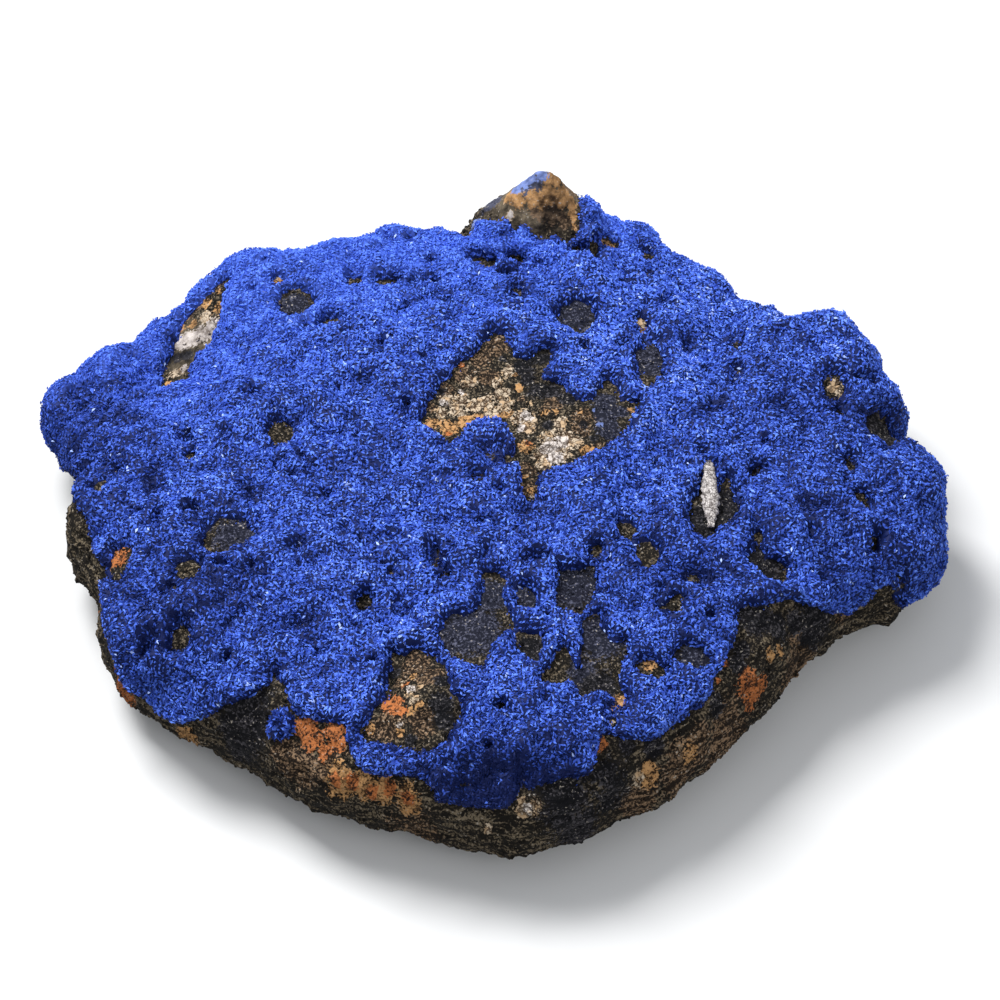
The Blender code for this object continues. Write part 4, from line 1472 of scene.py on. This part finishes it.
@dataclass(frozen=True)
class Druse:
    """The tiny crystals that stand on the crust.

    Attributes:
        half_width: usual half width of a crystal.
        half_length: usual half length.
        rise: how far crystals stand up from the skin, as a share of their length.
        jitter: how far one may stand from its even place.
        lift: how far their middles stand above the crust's skin.
        on_face: how many crystals stand on each face of the skin, in the mean.
        tone: usual tone of a crystal.
        tone_spread: how much lighter or darker one may be.
        far_calm: how much more alike they are on the far left.
        painted_glint_share: the share of crystals with a painted glint.
        stray_growth: how thin the crust may be where a stray crystal stands on bare rock.
        stray_share: how many stray ones there are at the crust's edge.
        parts: how many pieces the crystals are joined in.
        size_spread: how much their sizes differ, as the spread of a logarithm.
        stray_size: how large a stray one is for its place in the crust.
        flatness: the least and the greatest depth for its width.
        slimness: the least and the greatest length for the usual one.
        painted_glint: the tone of one with a painted glint.
        seed: the seed of their places, sizes and tones.
        turn_seed: the seed of their turns.
    """

    half_width: float = 0.112
    half_length: float = 0.215
    rise: float = 0.22
    jitter: float = 0.07
    lift: float = 0.05
    on_face: float = 2.2
    tone: float = 0.34
    tone_spread: float = 0.34
    far_calm: float = 0.5
    painted_glint_share: float = 0.004
    stray_growth: float = -0.6
    stray_share: float = 0.3
    parts: int = 5
    size_spread: float = 0.2
    stray_size: float = 0.7
    flatness: Pair = (0.6, 1.0)
    slimness: Pair = (0.8, 1.15)
    painted_glint: float = 1.1
    seed: int = 17
    turn_seed: int = 29

    def grains(self, skin: Object, growth: Values, painted_shade: Values) -> Grains:
        """The crystals' places, directions, sizes and tones.

        Args:
            skin: the crust's outer surface.
            growth: how far it stands off the rock at each vertex.
            painted_shade: how much painted shade it has there.

        Returns:
            The grains.
        """
        draw = np.random.default_rng(self.seed)
        corners = face_corners(skin.data)
        grown = growth[corners].mean(1)
        chance = self.stray_share * smooth_step(grown, self.stray_growth, 0.0)
        wanted = np.where(grown > 0.0, self.on_face, chance)
        standing = np.floor(wanted + draw.random(len(corners))).astype(int)
        chosen = np.repeat(np.arange(len(corners)), standing)
        corners, grown = corners[chosen], grown[chosen]
        normals = face_normals(skin.data)[chosen]
        places = places_of(skin.data)[corners].mean(1) + np.maximum(-grown, 0.0)[:, None] * normals
        count = len(places)
        places += self.jitter * draw.normal(size=(count, 3)) + self.lift * normals
        lying = unit(np.cross(normals, directions(draw, count)))
        axes = unit(lying + self.rise * draw.normal(size=count)[:, None] * normals)
        size = np.exp(draw.normal(0.0, self.size_spread, count))
        size *= np.where(grown > 0.0, 1.0, self.stray_size)
        depth = self.half_width * size * draw.uniform(*self.flatness, count)
        length = self.half_length * size * draw.uniform(*self.slimness, count)
        sizes = np.stack((self.half_width * size, depth, length), 1)
        spread = self.tone_spread * (1.0 - self.far_calm * far_left(places))
        tones = self.tone + spread * draw.uniform(-1.0, 1.0, count)
        # A few crystals get a painted glint.
        tones[draw.random(count) < self.painted_glint_share] = self.painted_glint
        # Each crystal takes the painted shade of its face.
        marks = {"tone": tones, "painted_shade": painted_shade[corners].mean(1)}
        return Grains(places, axes, sizes, marks)

    def build(self, grains: Grains) -> list[Object]:
        """The crystals, joined in pieces.

        Args:
            grains: their places, directions, sizes and tones.

        Returns:
            The pieces, each of which covers a stretch of the slab, from left to right.
        """
        order = np.argsort(grains.places[:, 0])
        draw = np.random.default_rng(self.turn_seed)
        return [
            grains.chosen(part).build(f"azurite_crystals_{number}", GrainShape.CRYSTAL, draw)
            for number, part in enumerate(np.array_split(order, self.parts), start=1)
        ]


@dataclass(frozen=True)
class Grit:
    """Loose-looking mineral grains on the bare rock.

    Attributes:
        share: the share of bare faces that carry a grain.
        cream_share: the same in the cream patches.
        half_width: usual half width of a grain.
        cream_growth: how much larger grains are in the cream patches.
        cream_edge: the strengths of the cream tint between which a patch begins and is full.
        thinnest_cover: the growth of crust under which the rock counts as bare.
        foot: how high above the underside grains begin.
        size_spread: how much their sizes differ, as the spread of a logarithm.
        roundness: the least and the greatest share of its size that a grain has each way.
        tilt: how far grains lean from the rock's own direction.
        tones: how dark and how light they may be.
        seed: the seed of their draws.
    """

    share: float = 0.16
    cream_share: float = 0.45
    half_width: float = 0.13
    cream_growth: float = 0.5
    cream_edge: Pair = (-0.2, 0.3)
    thinnest_cover: float = 0.05
    foot: float = 0.5
    size_spread: float = 0.35
    roundness: Pair = (0.6, 1.2)
    tilt: float = 0.8
    tones: Pair = (0.2, 1.2)
    seed: int = 37

    def build(self, rock: Object, growth: Values) -> Object:
        """The grains, joined in one piece.

        Args:
            rock: the finished rock, with its tints.
            growth: how far the crust stands off it at each vertex.

        Returns:
            The piece.
        """
        draw = np.random.default_rng(self.seed)
        mesh = rock.data
        corners = face_corners(mesh)
        names = (*(tint.value for tint in Tint), "dust", "wall")
        marks = {name: marks_of(mesh, name)[corners].mean(1) for name in names}
        middles = places_of(mesh)[corners].mean(1)
        bare = growth[corners].mean(1) < self.thinnest_cover
        cream = smooth_step(marks[Tint.CREAM.value], *self.cream_edge)
        chance = self.share + (self.cream_share - self.share) * cream
        chance *= 1.0 - marks_of(mesh, "calm")[corners].mean(1)
        high = middles[:, 2] > self.foot
        chosen = bare & high & (draw.random(len(corners)) < chance)
        normals = face_normals(mesh)[chosen]
        count = len(normals)
        size = self.half_width * np.exp(draw.normal(0.0, self.size_spread, count))
        size = size * (1 + self.cream_growth * cream[chosen])
        marks = {name: values[chosen] for name, values in marks.items()}
        marks["tone"] = draw.uniform(*self.tones, count)
        axes = unit(normals + self.tilt * directions(draw, count))
        sizes = size[:, None] * draw.uniform(*self.roundness, (count, 3))
        grains = Grains(middles[chosen], axes, sizes, marks)
        return grains.build("rock_grit", GrainShape.GRIT, draw)


@dataclass(frozen=True)
class Islet:
    """The small patch of crust that grew by itself on the rock's wall.

    Attributes:
        place: its middle.
        radii: its half sizes.
        lumps: its broad relief.
        crumbs: its fine relief.
        shade: how much painted shade its skin has.
        tone: how light its skin is.
        share: the share of its vertices that carry a crystal.
        tilt: how far crystals lean from the skin's own direction.
        crystal: half width, half depth and half length of a usual crystal.
        size_spread: how much their sizes differ, as the spread of a logarithm.
        tones: how dark and how light crystals may be.
        crystal_shade: how much painted shade a crystal has on even skin.
        crystal_shade_small: how much less it has for each millimetre that it stands out.
        seed: the seed of their draws.
    """

    place: Place = (-19.1, -27.4, 11.5)
    radii: Place = (1.2, 1.2, 1.5)
    lumps: Relief = Relief(1.6, 0.25, 3.0)
    crumbs: Relief = Relief(0.6, 0.12, 53.0)
    shade: float = 0.7
    tone: float = 0.1
    share: float = 0.10
    tilt: float = 0.75
    crystal: Place = (0.19, 0.12, 0.34)
    size_spread: float = 0.2
    tones: Pair = (0.02, 0.7)
    crystal_shade: float = 0.6
    crystal_shade_small: float = 1.5
    seed: int = 59

    def build(self) -> list[Object]:
        """Makes the patch.

        Returns:
            Its skin, and the crystals that stand on it.
        """
        form = bmesh.new()
        bmesh.ops.create_icosphere(form, subdivisions=5, radius=1.0)
        bmesh.ops.scale(form, vec=Vector(self.radii) * MM, verts=form.verts)
        bmesh.ops.translate(form, vec=Vector(self.place) * MM, verts=form.verts)
        patch = object_from("azurite_islet_skin", form)
        mesh = patch.data
        points, normals = places_of(mesh), vertex_normals(mesh)
        small = self.crumbs.at(points)
        moved = points + normals * (self.lumps.at(points) + small)[:, None]
        move_to(mesh, moved)
        count = len(points)
        # Painted shade on the skin between its crystals.
        paint(mesh, "painted_shade", np.full(count, self.shade))
        paint(mesh, "tone", np.full(count, self.tone))
        mesh.shade_smooth()
        draw = np.random.default_rng(self.seed)
        standing = draw.random(count) < self.share
        count = int(standing.sum())
        axes = unit(normals[standing] + self.tilt * directions(draw, count))
        size = np.exp(draw.normal(0.0, self.size_spread, count))
        sizes = size[:, None] * np.array(self.crystal)
        # Painted shade on the crystals, less where they stand out.
        shade = self.crystal_shade - self.crystal_shade_small * small[standing]
        tones = draw.uniform(*self.tones, count)
        marks = {"tone": tones, "painted_shade": np.clip(shade, 0.0, 1.0)}
        crystals = Grains(moved[standing], axes, sizes, marks)
        return [patch, crystals.build("azurite_islet_crystals", GrainShape.CRYSTAL, draw)]


@dataclass(frozen=True)
class Sliver:
    """The pale crystal: a knobbly, flattened spear with ridges across it.

    Attributes:
        place: its middle.
        length: its length, along Y.
        widths: its half width at even steps from the near end to the tip.
        flatness: how thick it is for its width.
        rings: how many rings of faces it has.
        sides: how many faces each ring has.
        ridges: how many ridges cross it.
        ridge_depth: how far they stand out, as a share of its width.
        knobs: its middle-sized relief.
        crumbs: its fine relief.
    """

    place: Place = (18.95, -4.1, 15.75)
    length: float = 8.3
    widths: tuple[float, ...] = (0.24, 0.46, 0.60, 0.76, 0.74, 0.70, 0.66, 0.60, 0.52, 0.40, 0.14)
    flatness: float = 0.7
    rings: int = 60
    sides: int = 24
    ridges: int = 10
    ridge_depth: float = 0.09
    knobs: Relief = Relief(0.7, 0.18, 61.0)
    crumbs: Relief = Relief(0.28, 0.12, 67.0)

    def width_at(self, along: float) -> float:
        """How wide the crystal is.

        Args:
            along: a share of its length, from the near end to the tip.

        Returns:
            Half its width there.
        """
        steps = np.linspace(0.0, 1.0, len(self.widths))
        ridge = 1.0 + self.ridge_depth * math.sin(math.tau * self.ridges * along)
        return float(np.interp(along, steps, self.widths)) * ridge

    def build(self) -> Object:
        """Makes the crystal.

        Returns:
            The piece.
        """
        form = bmesh.new()
        size = {"radius1": MM, "radius2": MM, "depth": self.length * MM}
        bmesh.ops.create_cone(form, cap_ends=True, segments=self.sides, **size)
        long_edges = [e for e in form.edges if abs(e.verts[0].co.z - e.verts[1].co.z) > MM]
        bmesh.ops.subdivide_edges(form, edges=long_edges, cuts=self.rings, use_grid_fill=True)
        for vertex in form.verts:
            width = self.width_at(vertex.co.z / (self.length * MM) + 0.5)
            vertex.co.x *= width
            vertex.co.y *= width * self.flatness
        lay_down = Matrix.Rotation(math.radians(-90.0), 3, "X")
        bmesh.ops.rotate(form, matrix=lay_down, verts=form.verts)
        bmesh.ops.translate(form, vec=Vector(self.place) * MM, verts=form.verts)
        crystal = object_from("pale_crystal", form)
        points, normals = places_of(crystal.data), vertex_normals(crystal.data)
        height = self.knobs.at(points) + self.crumbs.at(points)
        move_to(crystal.data, points + normals * height[:, None])
        crystal.data.shade_smooth()
        return crystal


@dataclass(frozen=True)
class Studio:
    """The floor, the lights and the camera.

    Attributes:
        target: the point that the camera looks at.
        elevation: the camera's height above the horizon, in degrees.
        distance: how far the camera stands from the target.
        lens: focal length, for a 36 mm wide picture.
        rise: how far the picture is shifted, as a share of its width.
        floor_width: how wide the floor is.
        floor_colour: its colour.
        floor_roughness: how dull it is.
        sky: the sky's colour.
        above: the sky's strength above the horizon.
        below: its strength below it.
        horizon: the heights of direction between which it fades from one to the other.
        lamps: the lights, (name, place, width, power in watts).
        nearest: the least distance that the camera sees, in metres.
    """

    target: Place = (0.0, 0.0, 8.0)
    elevation: float = 50.0
    distance: float = 420.0
    lens: float = 164.0
    rise: float = 0.012
    floor_width: float = 6000.0
    floor_colour: Colour = (0.70, 0.70, 0.70)
    floor_roughness: float = 0.9
    sky: Colour = (0.93, 0.96, 1.0)
    above: float = 0.6
    below: float = 0.12
    horizon: Pair = (-0.05, 0.0)
    lamps: tuple = (
        ("main", (-220.0, 190.0, 500.0), 240.0, 4.2),
        ("front", (240.0, -420.0, 420.0), 320.0, 0.8),
    )
    nearest: float = 0.01

    def floor(self) -> None:
        """A plain pale floor."""
        form = bmesh.new()
        bmesh.ops.create_grid(form, x_segments=1, y_segments=1, size=self.floor_width / 2 * MM)
        floor = object_from("floor", form)
        material = bpy.data.materials.new("floor")
        material.use_nodes = True
        shader = material.node_tree.nodes["Principled BSDF"]
        shader.inputs["Base Color"].default_value = (*self.floor_colour, 1.0)
        shader.inputs["Roughness"].default_value = self.floor_roughness
        floor.data.materials.append(material)
        floor.visible_diffuse = False

    def lamp(self, name: str, place: Place, width: float, power: float) -> None:
        """A square soft light that faces the specimen.

        Args:
            name: the light's name.
            place: where it hangs.
            width: how wide it is.
            power: its power in watts.
        """
        light = bpy.data.lights.new(name, "AREA")
        light.size = width * MM
        light.energy = power
        lamp = new_object(name, light)
        lamp.location = Vector(place) * MM
        aim = Vector(self.target) * MM - lamp.location
        lamp.rotation_euler = aim.to_track_quat("-Z", "Y").to_euler()

    def lights(self) -> None:
        """A bright, even sky, a main light from behind on the left, and a weak one in front."""
        world = bpy.data.worlds.new("sky")
        world.use_nodes = True
        tree = world.node_tree
        sky = tree.nodes["Background"]
        sky.inputs["Color"].default_value = (*self.sky, 1.0)
        apart = tree.nodes.new("ShaderNodeSeparateXYZ")
        fade = tree.nodes.new("ShaderNodeMapRange")
        direction = tree.nodes.new("ShaderNodeTexCoord").outputs["Generated"]
        tree.links.new(direction, apart.inputs["Vector"])
        tree.links.new(apart.outputs["Z"], fade.inputs["Value"])
        tree.links.new(fade.outputs["Result"], sky.inputs["Strength"])
        limits = (*self.horizon, self.below, self.above)
        for name, value in zip(("From Min", "From Max", "To Min", "To Max"), limits):
            fade.inputs[name].default_value = value
        bpy.context.scene.world = world
        for lamp in self.lamps:
            self.lamp(*lamp)

    def camera(self) -> None:
        """The camera."""
        data = bpy.data.cameras.new("camera")
        data.lens = self.lens
        data.shift_y = self.rise
        data.clip_start = self.nearest
        camera = new_object("camera", data)
        angle = math.radians(self.elevation)
        back = Vector((0.0, -math.cos(angle), math.sin(angle)))
        camera.location = (Vector(self.target) + self.distance * back) * MM
        camera.rotation_euler = (-back).to_track_quat("-Z", "Y").to_euler()
        bpy.context.scene.camera = camera

    def build(self) -> None:
        """Everything round the specimen."""
        self.floor()
        self.lights()
        self.camera()
        bpy.context.scene.view_settings.view_transform = "Standard"


def dress(pieces: list[Object], material: Material) -> None:
    """Gives pieces their material.

    Args:
        pieces: the pieces.
        material: the one material that each of them then has.
    """
    for piece in pieces:
        piece.data.materials.clear()
        piece.data.materials.append(material)


def main() -> None:
    """Builds and dresses the specimen, piece by piece, and the studio round it."""
    logging.basicConfig(level=logging.INFO, format="%(asctime)s %(message)s")
    azurite = AzuriteFinish().material()
    host_rock = HostRockFinish().material()
    pale_crystal = PaleCrystalFinish().material()

    field = CrustField()
    ground = GroundForm(face_size=0.38).build()
    growth, _ = field.growth(places_of(ground.data))
    rock = HostRock().build(ground, growth)
    grit = Grit().build(rock, growth)
    bpy.data.objects.remove(ground)
    dress([rock, grit], host_rock)
    hand_over(rock, "host_rock", "matrix_rock")
    hand_over(grit, "host_rock")

    ground = GroundForm(face_size=0.30).build()
    growth, painted_shade = field.growth(places_of(ground.data))
    skin = Crust().surface(ground, growth)
    crust = Crust().build(skin, painted_shade)
    druse = Druse()
    crystals = druse.build(druse.grains(skin, growth, painted_shade))
    dress([crust, *crystals], azurite)
    hand_over(crust, "azurite", "azurite_crust")
    for piece in crystals:
        hand_over(piece, "azurite")
    for helper in (ground, skin):
        bpy.data.objects.remove(helper)

    islet = Islet().build()
    dress(islet, azurite)
    hand_over(islet[0], "azurite", "azurite_islet")
    hand_over(islet[1], "azurite")

    sliver = Sliver().build()
    dress([sliver], pale_crystal)
    hand_over(sliver, "pale_crystal", "white_sliver")

    Studio().build()


if __name__ == "__main__":
    main()
